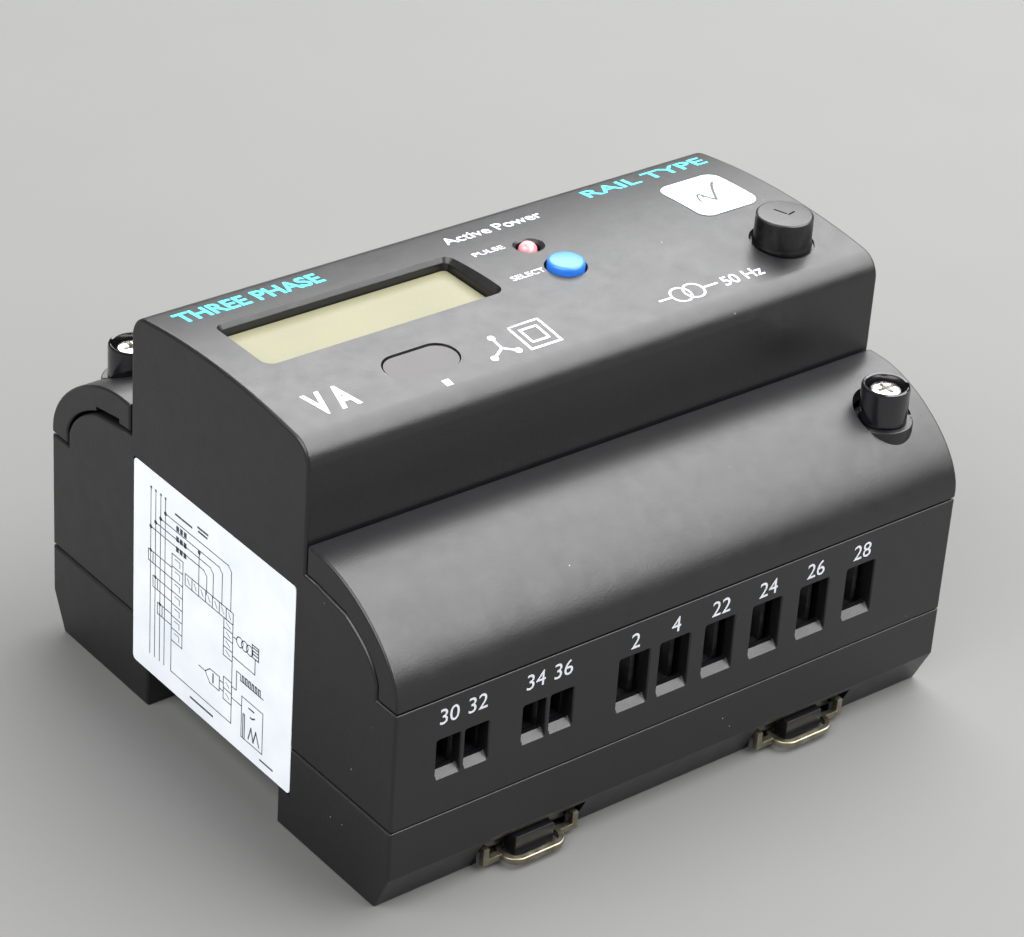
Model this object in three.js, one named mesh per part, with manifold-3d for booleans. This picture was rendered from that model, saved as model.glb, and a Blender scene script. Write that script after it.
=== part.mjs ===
/**
 * Smart electric meter for a 35 mm mounting rail, as a three.js scene graph.
 *
 * Millimetres, +Z up. The meter lies on its back: the rail channel is underneath, the display on top,
 * X runs along the rail and -Y is the side of the mains terminals. Every separate physical piece is a
 * named mesh of one closed body.
 */
import * as THREE from 'three';
import { mergeVertices } from 'three/addons/utils/BufferGeometryUtils.js';
import Module from 'manifold-3d';

const wasm = await Module();
wasm.setup();

// ---------------------------------------------------------------- driving dimensions

const HALF_LENGTH = 107 / 2; // six rail modules
const HALF_DEPTH = 90 / 2;
const WALL = 2;
const GAP = 0.3; // between pieces that are cut to fit each other

const PART_Z = 15; // parting line of the two casings
const PART_GAP = 0.1; // half the width of the groove at the parting line
const SEAM_Z = 35.4; // lower edge of the terminal covers
const DECK_Z = 33; // terminal deck, under the covers
const STEP_Z = 51.2; // covers meet the front block
const TOP_Z = 68.65; // crown of the front block

const BLOCK_HALF = 22.5; // front block, half width (45 mm is the rail standard's opening)
const BLOCK_FILLET = 4;
const CROWN_RADIUS = 130;

const CHAMFER_Z = 6.6; // lower edge of the long walls
const FOOT_HALF = 41.8; // the wings' outer edge on the ground
const RAIL_HALF = 17.5; // half of the 35 mm rail channel
const RAIL_SEAT_Z = 6.5;
const SEAT_HALF = 15.2; // the seat is a raised band that stops short of the hooks
const SEAT_RAISE = 0.3;
const RAIL_LIP = 1.6; // how far the hooks reach under the rail's edges
const FLOOR_Z = 8.3; // inside floor of the lower casing
const BOSS_Z = 10; // the two casings' screw bosses meet here
const ABOVE_RIM = 20; // clear above the lower casing's rim

const CLIP_X = 26.5; // the two rail sliders, either side of the middle
const SLIDER = { half: 7.9, flangeHalf: 9.4, flangeZ0: 2.4, flangeZ1: 4.6 };
const PULL_REACH = 46.8; // how far the pull loops stand out in -Y

const POST_X = 45.05; // sealing screws
const POST_Y = 35.25;
const POST_TOP_Z = 53.4;
const POST_SEAT_Z = 47.4;

const CASING_SCREW = { x: 46.2, y: 37.5 };

const BOARD_Z = 16.2; // underside of the main board
const BOARD = 1.6;
const DISPLAY_BOARD_Z = 57;

const LCD = { x: -25.9, y: 4.05, width: 41, height: 12.8, glassZ: 65.1 };
const LED = { x: 7.5, y: 6.9, radius: 1.5 };
const BUTTON = { x: 8, y: -1.7, radius: 2.95, topZ: 69.85 };
const KNOB = { x: 42.5, y: -11.9, radius: 4.55, topZ: 72.9, seatZ: 67.5 };
const INFRARED = { x: -27.2, y: -12.8, width: 12.2, height: 6 };
const STICKER = { x: 42.3, y: 5.4, width: 11.6, height: 12.2 };
const LABEL = { y0: -20.6, y1: 21.6, z0: 6.8, z1: 43, thickness: 0.2 };

const MAINS = { width: 5.7, z0: 20.4, z1: 29.6, screwY: 38.5 }; // wire openings and screws
const MAINS_X = { l: -10.1, n: -2.4, v1: 6.3, v2: 15.6, v3: 25.1, vn: 34.6 };
const SIGNAL = { width: 4.2, z0: 21.6, z1: 28.2, screwY: 37.4, pitch: 5, screwRadius: 1.8 };
const SIGNAL_BORE = { width: 3.6, z0: 22.2, z1: 26.9 };
const RELAY_X = -41.3; // middle of each terminal block
const PULSE_X = -25.95;
const DATA_X = -32.5;
const CURRENT_X = 14.05;
const CURRENT = { width: 5.7, z0: 20.4, z1: 29.6, screwY: 37.4, pitch: 7.62, screwRadius: 2.1 };
const CURRENT_BORE = { width: 4.5, z0: 20.8, z1: 26.9 };

// ---------------------------------------------------------------- materials

function finish(color, roughness, metalness = 0) {
  return new THREE.MeshStandardMaterial({ color, roughness, metalness });
}

const casingPlastic = finish(0x2b2b2e, 0.45);
const sleevePlastic = finish(0x151519, 0.2);
const knobPlastic = finish(0x2a2a29, 0.4);
const bluePlastic = finish(0x3f8fe8, 0.35);
const redLens = finish(0xc8202c, 0.15);
const darkWindow = finish(0x3a3638, 0.3);
const displayGlass = finish(0xd9d8b8, 0.12);
const paleCarrier = finish(0xdedccf, 0.5);
const labelPaper = finish(0xe6ecf0, 0.6);
const boardGreen = finish(0x1f5b3a, 0.4);
const nickelSteel = finish(0xc9cbcc, 0.25, 1);
const springSteel = finish(0xb5ae96, 0.4, 1);
const terminalPlastic = finish(0x1d1f22, 0.5);
const coreSteel = finish(0x55575a, 0.5, 1);
const canAluminium = finish(0x9aa0a8, 0.3, 1);
const relayPlastic = finish(0x2f5f96, 0.4);

// ---------------------------------------------------------------- solids

/** Turns a closed three.js geometry into a manifold solid. */
function solid(geometry) {
  const bare = new THREE.BufferGeometry();
  bare.setAttribute('position', geometry.getAttribute('position'));
  bare.setIndex(geometry.getIndex());
  const merged = mergeVertices(bare, 1e-3);
  const index = merged.getIndex().array;
  const triangles = [];
  for (let i = 0; i < index.length; i += 3) {
    const [a, b, c] = [index[i], index[i + 1], index[i + 2]];
    if (a !== b && b !== c && c !== a) {
      triangles.push(a, b, c);
    }
  }
  return new wasm.Manifold(new wasm.Mesh({
    numProp: 3,
    vertProperties: merged.getAttribute('position').array,
    triVerts: Uint32Array.from(triangles),
  }));
}

/** A box between two values on each axis. */
function cuboid([x0, x1], [y0, y1], [z0, z1]) {
  const geometry = new THREE.BoxGeometry(x1 - x0, y1 - y0, z1 - z0);
  geometry.translate((x0 + x1) / 2, (y0 + y1) / 2, (z0 + z1) / 2);
  return solid(geometry);
}

/** An upright round rod. */
function rod(radius, x, y, z0, z1, sides = 16) {
  const geometry = new THREE.CylinderGeometry(radius, radius, z1 - z0, sides);
  geometry.rotateX(Math.PI / 2);
  geometry.translate(x, y, (z0 + z1) / 2);
  return solid(geometry);
}

/** A solid of revolution about Z. The profile is [radius, z] points from the axis, upwards, to the axis. */
function turned(profile, sides = 24) {
  const points = profile.map(([radius, z]) => new THREE.Vector2(radius, z));
  const geometry = new THREE.LatheGeometry(points, sides);
  geometry.rotateX(Math.PI / 2);
  return solid(geometry);
}

/** The same outline as straight lines, without the repeated points where two curves join. */
function straightened(outline, curveSegments) {
  const points = [];
  for (const point of outline.getPoints(curveSegments)) {
    if (points.every((other) => other.distanceTo(point) > 0.01)) {
      points.push(point);
    }
  }
  return new THREE.Shape(points);
}

/** Extrudes an outline drawn in (y, z) along X. */
function alongX(outline, x0, x1, curveSegments = 6) {
  const options = { depth: x1 - x0, bevelEnabled: false };
  const geometry = new THREE.ExtrudeGeometry(straightened(outline, curveSegments), options);
  const turn = new THREE.Matrix4().makeBasis(
    new THREE.Vector3(0, 1, 0),
    new THREE.Vector3(0, 0, 1),
    new THREE.Vector3(1, 0, 0),
  );
  geometry.applyMatrix4(turn);
  geometry.translate(x0, 0, 0);
  return solid(geometry);
}

/** Extrudes an outline drawn in (x, y) upwards. */
function upward(outline, z0, z1, curveSegments = 6) {
  const options = { depth: z1 - z0, bevelEnabled: false };
  const geometry = new THREE.ExtrudeGeometry(straightened(outline, curveSegments), options);
  geometry.translate(0, 0, z0);
  return solid(geometry);
}

/** An outline through points, drawn with straight lines. */
function polygon(points) {
  return new THREE.Shape(points.map(([a, b]) => new THREE.Vector2(a, b)));
}

/** A rectangle with round corners about a middle point. */
function roundedRectangle(x, y, width, height, radius) {
  const [left, right] = [x - width / 2, x + width / 2];
  const [low, high] = [y - height / 2, y + height / 2];
  const outline = new THREE.Shape();
  outline.moveTo(left + radius, low);
  outline.absarc(right - radius, low + radius, radius, -Math.PI / 2, 0);
  outline.absarc(right - radius, high - radius, radius, 0, Math.PI / 2);
  outline.absarc(left + radius, high - radius, radius, Math.PI / 2, Math.PI);
  outline.absarc(left + radius, low + radius, radius, Math.PI, 1.5 * Math.PI);
  return outline;
}

/** The same solid turned half round about Z: the meter's two long sides are alike that way. */
function halfTurn(piece) {
  return piece.rotate([0, 0, 180]);
}

function union(first, ...others) {
  return others.reduce((sum, next) => sum.add(next), first);
}

function cut(first, ...others) {
  return others.reduce((rest, next) => rest.subtract(next), first);
}

/** A named mesh of a solid. */
function piece(name, body, material) {
  const mesh = body.getMesh();
  const geometry = new THREE.BufferGeometry();
  geometry.setAttribute('position', new THREE.BufferAttribute(mesh.vertProperties, 3));
  geometry.setIndex(new THREE.BufferAttribute(mesh.triVerts, 1));
  const result = new THREE.Mesh(geometry, material);
  result.name = name;
  return result;
}

// ---------------------------------------------------------------- shared outlines

/** Cross-section of the front block in (y, z), made smaller all round by inset. */
function blockOutline(inset, bottom) {
  const crownZ = TOP_Z - CROWN_RADIUS;
  const filletY = BLOCK_HALF - BLOCK_FILLET;
  const reach = CROWN_RADIUS - BLOCK_FILLET;
  const filletZ = crownZ + Math.sqrt(reach ** 2 - filletY ** 2);
  const tangent = Math.acos(filletY / reach);
  const fillet = BLOCK_FILLET - inset;
  const outline = new THREE.Shape();
  outline.moveTo(-BLOCK_HALF + inset, bottom);
  outline.lineTo(BLOCK_HALF - inset, bottom);
  outline.absarc(filletY, filletZ, fillet, 0, tangent);
  outline.absarc(0, crownZ, CROWN_RADIUS - inset, tangent, Math.PI - tangent);
  outline.absarc(-filletY, filletZ, fillet, Math.PI - tangent, Math.PI);
  return outline;
}

/** The end walls' shoulder from the seam up to the block, in (y, z) on the +Y side, grown by clearance. */
function traceShoulder(outline, clearance) {
  const foot = 40.2 + clearance;
  outline.lineTo(foot, SEAM_Z - 0.2 + clearance);
  outline.lineTo(foot, 37.6 + clearance);
  outline.quadraticCurveTo(39 + clearance, 42 + clearance, 32.2, 45 + 1.3 * clearance);
  outline.lineTo(25.2, 46.1 + clearance);
  outline.lineTo(BLOCK_HALF - 1, 46.2 + clearance);
}

function shoulderOutline() {
  const outline = new THREE.Shape();
  outline.moveTo(0, PART_Z + PART_GAP);
  outline.lineTo(HALF_DEPTH, PART_Z + PART_GAP);
  outline.lineTo(HALF_DEPTH, SEAM_Z - 0.2);
  traceShoulder(outline, 0);
  outline.lineTo(0, 46.2);
  return outline;
}

/** The hollow that the wiring label lies in, flush with the left end wall. */
function labelPocket() {
  const edge = 0.1;
  return cuboid(
    [-HALF_LENGTH - 1, -HALF_LENGTH + LABEL.thickness],
    [LABEL.y0 - edge, LABEL.y1 + edge],
    [LABEL.z0 - edge, LABEL.z1 + edge],
  );
}

// ---------------------------------------------------------------- lower casing

function makeBaseShell() {
  const rim = PART_Z - PART_GAP;
  const outline = polygon([
    [HALF_DEPTH, rim],
    [-HALF_DEPTH, rim],
    [-HALF_DEPTH, CHAMFER_Z],
    [-FOOT_HALF, 0],
    [-RAIL_HALF, 0],
    [-RAIL_HALF, RAIL_SEAT_Z + SEAT_RAISE],
    [-SEAT_HALF, RAIL_SEAT_Z + SEAT_RAISE],
    [-SEAT_HALF, RAIL_SEAT_Z],
    [SEAT_HALF, RAIL_SEAT_Z],
    [SEAT_HALF, RAIL_SEAT_Z + SEAT_RAISE],
    [RAIL_HALF, RAIL_SEAT_Z + SEAT_RAISE],
    [RAIL_HALF, 0],
    [FOOT_HALF, 0],
    [HALF_DEPTH, CHAMFER_Z],
  ]);
  const inX = HALF_LENGTH - WALL;
  const inY = HALF_DEPTH - WALL;
  const slack = 0.2;
  const inner = slack + 1;
  const tongue = cut(
    cuboid([-inX + slack, inX - slack], [-inY + slack, inY - slack], [FLOOR_Z - 0.5, PART_Z + WALL]),
    cuboid([-inX + inner, inX - inner], [-inY + inner, inY - inner], [0, ABOVE_RIM]),
  );
  const { x, y } = CASING_SCREW;
  const bossRadius = 4.2;
  let shell = cut(
    alongX(outline, -HALF_LENGTH, HALF_LENGTH),
    cuboid([-inX, inX], [-inY, inY], [FLOOR_Z, ABOVE_RIM]),
    cuboid([-inX, inX], [RAIL_HALF + WALL, FOOT_HALF - WALL], [WALL, FLOOR_Z + 1]),
  );
  shell = union(
    shell,
    tongue,
    rod(bossRadius, -x, y, 0, BOSS_Z),
    rod(bossRadius, x, -y, FLOOR_Z - 1, BOSS_Z),
  );
  const boardPost = { x: 30, y: 24, radius: 2.5 };
  for (const side of [-1, 1]) {
    for (const row of [-boardPost.y, boardPost.y]) {
      shell = union(shell, rod(boardPost.radius, side * boardPost.x, row, WALL - 1, BOARD_Z));
    }
    shell = union(shell, railHook(side * CLIP_X));
    shell = cut(shell, ...sliderTrack(side * CLIP_X));
  }
  return cut(
    shell,
    ...screwBore(-x, y),
    ...screwBore(x, -y),
    labelPocket(),
  );
}

/** Fixed lip on the +Y side that hooks behind the rail's edge. */
function railHook(x) {
  const outline = polygon([
    [RAIL_HALF + 0.5, 2.2],
    [RAIL_HALF + 0.5, 4.9],
    [RAIL_HALF - RAIL_LIP, 4.9],
    [RAIL_HALF - RAIL_LIP, 2.9],
    [RAIL_HALF - RAIL_LIP + 0.7, 2.2],
  ]);
  return alongX(outline, x - 10, x + 10);
}

/** The track in which one rail slider runs, open below and at the long wall. */
function sliderTrack(x) {
  const [body, flange] = [SLIDER.half + GAP + 0.1, SLIDER.flangeHalf + GAP];
  const along = [-HALF_DEPTH - 1, -RAIL_HALF + 1];
  return [
    cuboid([x - body, x + body], along, [-1, 5]),
    cuboid([x - flange, x + flange], along, [SLIDER.flangeZ0 - GAP, SLIDER.flangeZ1 + GAP]),
    cuboid([x - flange, x + flange], [-HALF_DEPTH - 1, -FOOT_HALF], [-1, 5.6]),
  ];
}

/** Head recess and clearance hole of a casing screw. */
function screwBore(x, y) {
  return [rod(3.3, x, y, -1, 3.8), rod(1.75, x, y, 3, ABOVE_RIM, 16)];
}

/** Screw that holds the two casings together, driven from underneath. */
function makeCasingScrew() {
  const screw = turned([[0, 1], [2.7, 1], [2.7, 3.4], [1.4, 3.6], [1.4, 24], [0, 25.2]], 12);
  return cut(screw, cuboid([-2, 2], [-0.4, 0.4], [0, 2]), cuboid([-0.4, 0.4], [-2, 2], [0, 2]));
}

// ---------------------------------------------------------------- upper casing

function makeUpperHousing() {
  const inX = HALF_LENGTH - WALL;
  const inY = HALF_DEPTH - WALL;
  const half = alongX(shoulderOutline(), -HALF_LENGTH, HALF_LENGTH);
  const deck = cuboid([-inX, inX], [BLOCK_HALF, inY], [DECK_Z, 60]);
  let shell = cut(
    union(half, halfTurn(half), alongX(blockOutline(0, 40), -HALF_LENGTH, HALF_LENGTH)),
    deck,
    halfTurn(deck),
    cuboid([-inX, inX], [-inY, inY], [PART_Z - 1, DECK_Z - WALL]),
    alongX(blockOutline(WALL + 0.1, 25), -inX, inX),
  );
  shell = union(shell, windowSkirt(), ...sealBosses(), ...casingBosses(), ...boardPosts());
  shell = union(shell, ...terminalRibs());
  shell = cut(shell, ...frontHoles(), ...terminalHoles(), labelPocket());
  return shell;
}

/** Wall that runs down from the front panel round the display. */
function windowSkirt() {
  const outline = roundedRectangle(LCD.x, LCD.y, LCD.width + 3, LCD.height + 3, 1.5);
  return upward(outline, LCD.glassZ + 0.1, 67);
}

/** Threaded posts on the decks for the sealing screws. */
function sealBosses() {
  const boss = cut(
    rod(3.6, -POST_X, POST_Y, DECK_Z - 1, 43.2),
    rod(1.8, -POST_X, POST_Y, 33.5, 50, 16),
  );
  return [boss, halfTurn(boss)];
}

function casingBosses() {
  const { x, y } = CASING_SCREW;
  const boss = cut(rod(3.4, -x, y, BOSS_Z + GAP, DECK_Z - 1), rod(1.75, -x, y, 5, 27, 16));
  return [boss, halfTurn(boss)];
}

/** Posts under the front panel that the display board is held by. */
function boardPosts() {
  const posts = [];
  for (const x of [-45, 30]) {
    for (const y of [-17.5, 17.5]) {
      posts.push(rod(1.6, x, y, DISPLAY_BOARD_Z + BOARD + 0.1, 66, 12));
    }
  }
  return posts;
}

/** Partitions between the cage clamps of the mains terminals. */
function terminalRibs() {
  const thickness = 0.9;
  const places = Object.values(MAINS_X);
  const last = places.length - 1;
  const outermost = 3.9;
  const edges = places.slice(1).map((x, i) => (x + places[i]) / 2);
  edges.unshift(places[0] - outermost);
  edges.push(places[last] + outermost);
  return edges.map((x) => cuboid(
    [x - thickness / 2, x + thickness / 2],
    [-HALF_DEPTH + 1, -34],
    [BOARD_Z + BOARD + 0.3, DECK_Z - 1],
  ));
}

/** A straight opening with a wider, sloping mouth at the front panel. */
function displayOpening() {
  const slope = 1.5;
  const outline = roundedRectangle(LCD.x, LCD.y, LCD.width, LCD.height, 0.9);
  const geometry = new THREE.ExtrudeGeometry(outline, {
    depth: 3,
    bevelThickness: slope,
    bevelSize: slope * 0.85,
    bevelSegments: 1,
    curveSegments: 3,
  });
  geometry.translate(0, 0, TOP_Z + 0.45);
  return union(solid(geometry), upward(outline, 60, TOP_Z, 3));
}

function frontHoles() {
  const slot = { width: INFRARED.width + 0.2, height: INFRARED.height + 0.2 };
  const capsule = roundedRectangle(
    INFRARED.x, INFRARED.y, slot.width, slot.height, slot.height / 2 - 0.01);
  return [
    displayOpening(),
    rod(LED.radius + 0.45, LED.x, LED.y, 60, 72),
    turned([[0, 68.2], [1.9, 68.2], [2.6, 69], [0, 69.1]], 24).translate([LED.x, LED.y, 0]),
    rod(BUTTON.radius + 0.25, BUTTON.x, BUTTON.y, 60, 72),
    rod(KNOB.radius + 0.55, KNOB.x, KNOB.y, KNOB.seatZ, 72, 32),
    rod(2.4, KNOB.x, KNOB.y, 60, 72),
    upward(capsule, 60, 72),
  ];
}

/** Wire openings in the long walls, and screwdriver holes in the decks above them. */
function terminalHoles() {
  const holes = [];
  for (const x of Object.values(MAINS_X)) {
    holes.push(wireOpening(x, MAINS));
    holes.push(rod(2.7, x, -MAINS.screwY, DECK_Z - 1.2, DECK_Z + 1));
    holes.push(rod(1.8, x, -MAINS.screwY, DECK_Z - 3, DECK_Z, 12));
  }
  const rows = [
    [wayPlaces(RELAY_X, 2, SIGNAL.pitch), SIGNAL, false],
    [wayPlaces(PULSE_X, 2, SIGNAL.pitch), SIGNAL, false],
    [wayPlaces(-DATA_X, 3, SIGNAL.pitch), SIGNAL, true],
    [wayPlaces(-CURRENT_X, 6, CURRENT.pitch), CURRENT, true],
  ];
  for (const [places, size, onFarSide] of rows) {
    for (const x of places) {
      const pair = union(
        wireOpening(x, size),
        rod(size.screwRadius + 0.3, x, -size.screwY, DECK_Z - 3, DECK_Z + 1, 12),
      );
      holes.push(onFarSide ? halfTurn(pair) : pair);
    }
  }
  return holes;
}

function wireOpening(x, { width, z0, z1 }) {
  return cuboid([x - width / 2, x + width / 2], [-HALF_DEPTH - 1, -HALF_DEPTH + WALL + 1], [z0, z1]);
}

/** The x of each way in a terminal block about its middle. */
function wayPlaces(middle, ways, pitch) {
  return Array.from({ length: ways }, (_, i) => middle + (i - (ways - 1) / 2) * pitch);
}

// ---------------------------------------------------------------- terminal covers

/** The cover's rounded outside in (y, z), moved inwards by inset. */
function traceCoverCurve(outline, inset) {
  outline.lineTo(25.5, STEP_Z - inset);
  outline.bezierCurveTo(
    34 - 0.4 * inset, STEP_Z - inset,
    HALF_DEPTH - inset, 43.5 - 0.4 * inset,
    HALF_DEPTH - inset, 36.5,
  );
}

/** The cover of the +Y side. The other one is the same piece, turned half round. */
function makeTerminalCover() {
  const innerEdge = BLOCK_HALF + 0.4;
  const outside = new THREE.Shape();
  outside.moveTo(innerEdge, STEP_Z - 0.1);
  traceCoverCurve(outside, 0);
  outside.lineTo(HALF_DEPTH, SEAM_Z - 0.2 + GAP);
  traceShoulder(outside, GAP);
  outside.lineTo(innerEdge, 46.2 + GAP);
  const inside = new THREE.Shape();
  inside.moveTo(innerEdge + 1.8, 30);
  inside.lineTo(innerEdge + 1.8, STEP_Z - WALL);
  traceCoverCurve(inside, WALL);
  inside.lineTo(HALF_DEPTH - WALL, 30);
  const inX = HALF_LENGTH - WALL - 0.2;
  const releaseSlot = polygon([[25.7, 46], [32.2, 45], [32.2, 46.3], [25.7, 47.4]]);
  const shell = cut(
    keepOutside(alongX(outside, -HALF_LENGTH, HALF_LENGTH, 10), innerEdge),
    alongX(inside, -inX, inX, 10),
    alongX(releaseSlot, -HALF_LENGTH - 1, -inX + 0.5),
  );
  return cut(
    union(shell, rod(4.8, -POST_X, POST_Y, 43.6, POST_SEAT_Z, 32)),
    rod(4.8, -POST_X, POST_Y, POST_SEAT_Z, 60, 32),
    rod(3, -POST_X, POST_Y, 40, 60),
  );
}

/** Cuts away what reaches over the front block. */
function keepOutside(body, edge) {
  return cut(body, cuboid([-HALF_LENGTH - 1, HALF_LENGTH + 1], [0, edge], [0, TOP_Z]));
}

/** Black sleeve of a sealing screw, with a hole through its side for the seal wire. */
function makeSealSleeve() {
  const seat = POST_SEAT_Z + 0.1;
  const sleeve = turned([
    [1.9, 43.8], [2.6, 43.8], [2.6, seat], [3.8, seat], [3.8, POST_TOP_Z - 0.2],
    [3.6, POST_TOP_Z], [3.1, POST_TOP_Z], [3.1, 50.1], [1.9, 50.1], [1.9, 43.8],
  ], 20);
  const wireHole = new THREE.CylinderGeometry(1.3, 1.3, 5, 16);
  wireHole.rotateX(Math.PI / 2);
  wireHole.rotateZ(0.9);
  wireHole.translate(2.4, -1.9, 49.3);
  return cut(sleeve, solid(wireHole), rod(0.8, -2.5, 1.9, 51, 55, 12));
}

/** Captive sealing screw with a cross recess. */
function makeSealScrew() {
  const screw = turned([
    [0, 34.6], [1.5, 35.4], [1.5, 50.3], [2.65, 50.3], [2.65, 52.2], [2.3, 52.7], [0, 52.7],
  ], 16);
  return cut(screw, ...crossRecess(3.6, 0.8, 51.4, 53));
}

function crossRecess(reach, width, z0, z1) {
  const [far, near] = [reach / 2, width / 2];
  return [
    cuboid([-far, far], [-near, near], [z0, z1]),
    cuboid([-near, near], [-far, far], [z0, z1]),
  ];
}

// ---------------------------------------------------------------- front panel parts

function makeLockKnob() {
  const { radius, topZ, seatZ } = KNOB;
  const knob = turned([
    [0, 60.5], [2, 60.5], [2, seatZ + 0.2], [radius + 0.1, seatZ + 0.2], [radius, seatZ + 1],
    [radius - 0.05, topZ - 0.3], [radius - 0.3, topZ], [0, topZ],
  ], 32);
  const stroke = (length, angle, x, y) => {
    const geometry = new THREE.BoxGeometry(length, 0.32, 1);
    geometry.rotateZ(angle);
    geometry.translate(x, y, topZ + 0.2);
    return solid(geometry);
  };
  return cut(knob, stroke(2.4, -1.25, -0.3, 0.75), stroke(1.7, 0.2, 0.9, -0.5));
}

function makeScrollButton() {
  const { radius, topZ } = BUTTON;
  return turned([
    [0, 63.4], [1.7, 63.4], [1.7, 64.4], [3.6, 64.4], [3.6, 65.5], [radius, 65.5], [radius, topZ - 0.9],
    [radius - 0.15, topZ - 0.4], [radius - 0.45, topZ - 0.12], [0, topZ],
  ], 24);
}

function makePowerLed() {
  const { radius } = LED;
  const dome = [];
  for (let step = 0; step <= 4; step += 1) {
    const angle = (step / 4) * (Math.PI / 2);
    dome.push([radius * Math.cos(angle), 67.5 + radius * Math.sin(angle)]);
  }
  const lens = turned([[0, 62], [1.9, 62], [1.9, 63], [radius, 63], ...dome], 16);
  const leg = cuboid([-1.5, -1.1], [-0.2, 0.2], [DISPLAY_BOARD_Z + BOARD, 62.5]);
  return union(lens, leg, halfTurn(leg));
}

/** A thin plate that follows the crown between two offsets from its surface. */
function crownPlate(outline, low, high) {
  return cut(
    upward(outline, 64, 72).intersect(alongX(blockOutline(-high, 50), -60, 60)),
    alongX(blockOutline(-low, 50), -60, 60),
  );
}

function makeInfraredWindow() {
  const { x, y, width, height } = INFRARED;
  const outline = roundedRectangle(x, y, width, height, height / 2 - 0.01);
  return crownPlate(outline, -2, -0.05);
}

function makeCheckSticker() {
  const { x, y, width, height } = STICKER;
  return crownPlate(roundedRectangle(x, y, width, height, 1.4), 0.04, 0.2);
}

function makeLcdGlass() {
  const outline = roundedRectangle(LCD.x, LCD.y, LCD.width + 3.6, LCD.height + 2.8, 0.3);
  return upward(outline, LCD.glassZ - 2.2, LCD.glassZ, 2);
}

/** Carrier that holds the glass above the display board. */
function makeLcdFrame() {
  const { x, y, width, height, glassZ } = LCD;
  const box = (grow, z0, z1) => cuboid(
    [x - width / 2 - grow, x + width / 2 + grow],
    [y - height / 2 - grow, y + height / 2 + grow],
    [z0, z1],
  );
  return cut(
    box(3.2, DISPLAY_BOARD_Z + BOARD, glassZ - 0.1),
    box(2.1, glassZ - 2.3, glassZ + 1),
    box(0.5, DISPLAY_BOARD_Z, DISPLAY_BOARD_Z + 4),
  );
}

function makeWiringLabel() {
  return cuboid(
    [-HALF_LENGTH, -HALF_LENGTH + LABEL.thickness],
    [LABEL.y0, LABEL.y1],
    [LABEL.z0, LABEL.z1],
  );
}

// ---------------------------------------------------------------- rail sliders

/** Moulded slider that locks behind the rail's -Y edge. Drawn about x = 0. */
function makeRailClip() {
  const { half, flangeHalf, flangeZ0, flangeZ1 } = SLIDER;
  const slope = 0.7;
  const nose = polygon([
    [-RAIL_HALF - 1, flangeZ0],
    [-RAIL_HALF + RAIL_LIP - slope, flangeZ0],
    [-RAIL_HALF + RAIL_LIP, flangeZ0 + slope],
    [-RAIL_HALF + RAIL_LIP, flangeZ1],
    [-RAIL_HALF - 1, flangeZ1],
  ]);
  const pullHole = (x) => cuboid([x - 0.8, x + 0.8], [-43, -39], [2.7, 4.3]);
  return cut(
    union(
      cuboid([-flangeHalf, flangeHalf], [-42.3, -RAIL_HALF - 0.5], [flangeZ0, flangeZ1]),
      cuboid([-half, half], [-40, -RAIL_HALF - 0.5], [0.4, flangeZ0 + 0.2]),
      cuboid([-3.6, 3.6], [-44.9, -42.1], [1.2, flangeZ1]),
      alongX(nose, -7, 7),
    ),
    pullHole(-8.3),
    pullHole(8.3),
    cuboid([-5.5, 5.5], [-36, -24], [0, 1.4]),
  );
}

/** Plated loop that the slider is pulled out by. Drawn about x = 0. */
function makeClipPull() {
  const middle = -43.75;
  const band = roundedRectangle(0, middle, 2 * 5.6, 2 * (PULL_REACH + middle) - 0.4, 2.4);
  band.holes.push(roundedRectangle(0, middle, 2 * 4.9, 2 * (PULL_REACH + middle) - 1.8, 1.8));
  const geometry = new THREE.ExtrudeGeometry(band, {
    depth: 0.7,
    bevelThickness: 0.2,
    bevelSize: 0.2,
    bevelSegments: 1,
    curveSegments: 2,
  });
  geometry.translate(0, 0, 1.15);
  const wire = 0.55;
  const shoulder = (side) => {
    const x = side * 8.3;
    return union(
      cuboid([Math.min(side * 5.4, x), Math.max(side * 5.4, x)], [middle - 0.4, middle + 0.7], [0.95, 2.05]),
      cuboid([x - wire, x + wire], [middle - 0.4, middle + 0.7], [0.95, 4.05]),
      cuboid([x - wire, x + wire], [middle, -39.5], [2.95, 4.05]),
    );
  };
  return union(solid(geometry), shoulder(-1), shoulder(1));
}

// ---------------------------------------------------------------- terminals

/** Rising cage of a mains terminal, at its lowest. Drawn about x = 0. */
function makeCageClamp() {
  const { screwY } = MAINS;
  return cut(
    cuboid([-3, 3], [-screwY - 3, -screwY + 3], [19, 28]),
    cuboid([-2.2, 2.2], [-screwY - 4, -screwY + 4], [20, 26.6]),
    rod(1.8, 0, -screwY, 25, 30, 16),
  );
}

/** Captive screw of a mains terminal: its foot presses the wire that the cage lifts. */
function makeCageScrew() {
  const screw = turned([
    [0, 23.4], [1.5, 23.8], [1.5, 31.9], [2.5, 31.9], [2.5, 34], [2.2, 34.4], [0, 34.4],
  ], 14);
  return cut(screw, ...crossRecess(3.4, 0.7, 33.2, 35));
}

/** Screw of a terminal block. */
function makeBlockScrew(radius) {
  const screw = turned([
    [0, 25.6], [1.2, 25.6], [1.2, 28.6], [radius, 28.6], [radius, 30.4], [0, 30.4],
  ], 12);
  return cut(screw, cuboid([-radius, radius], [-0.3, 0.3], [29.4, 31]));
}

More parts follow.
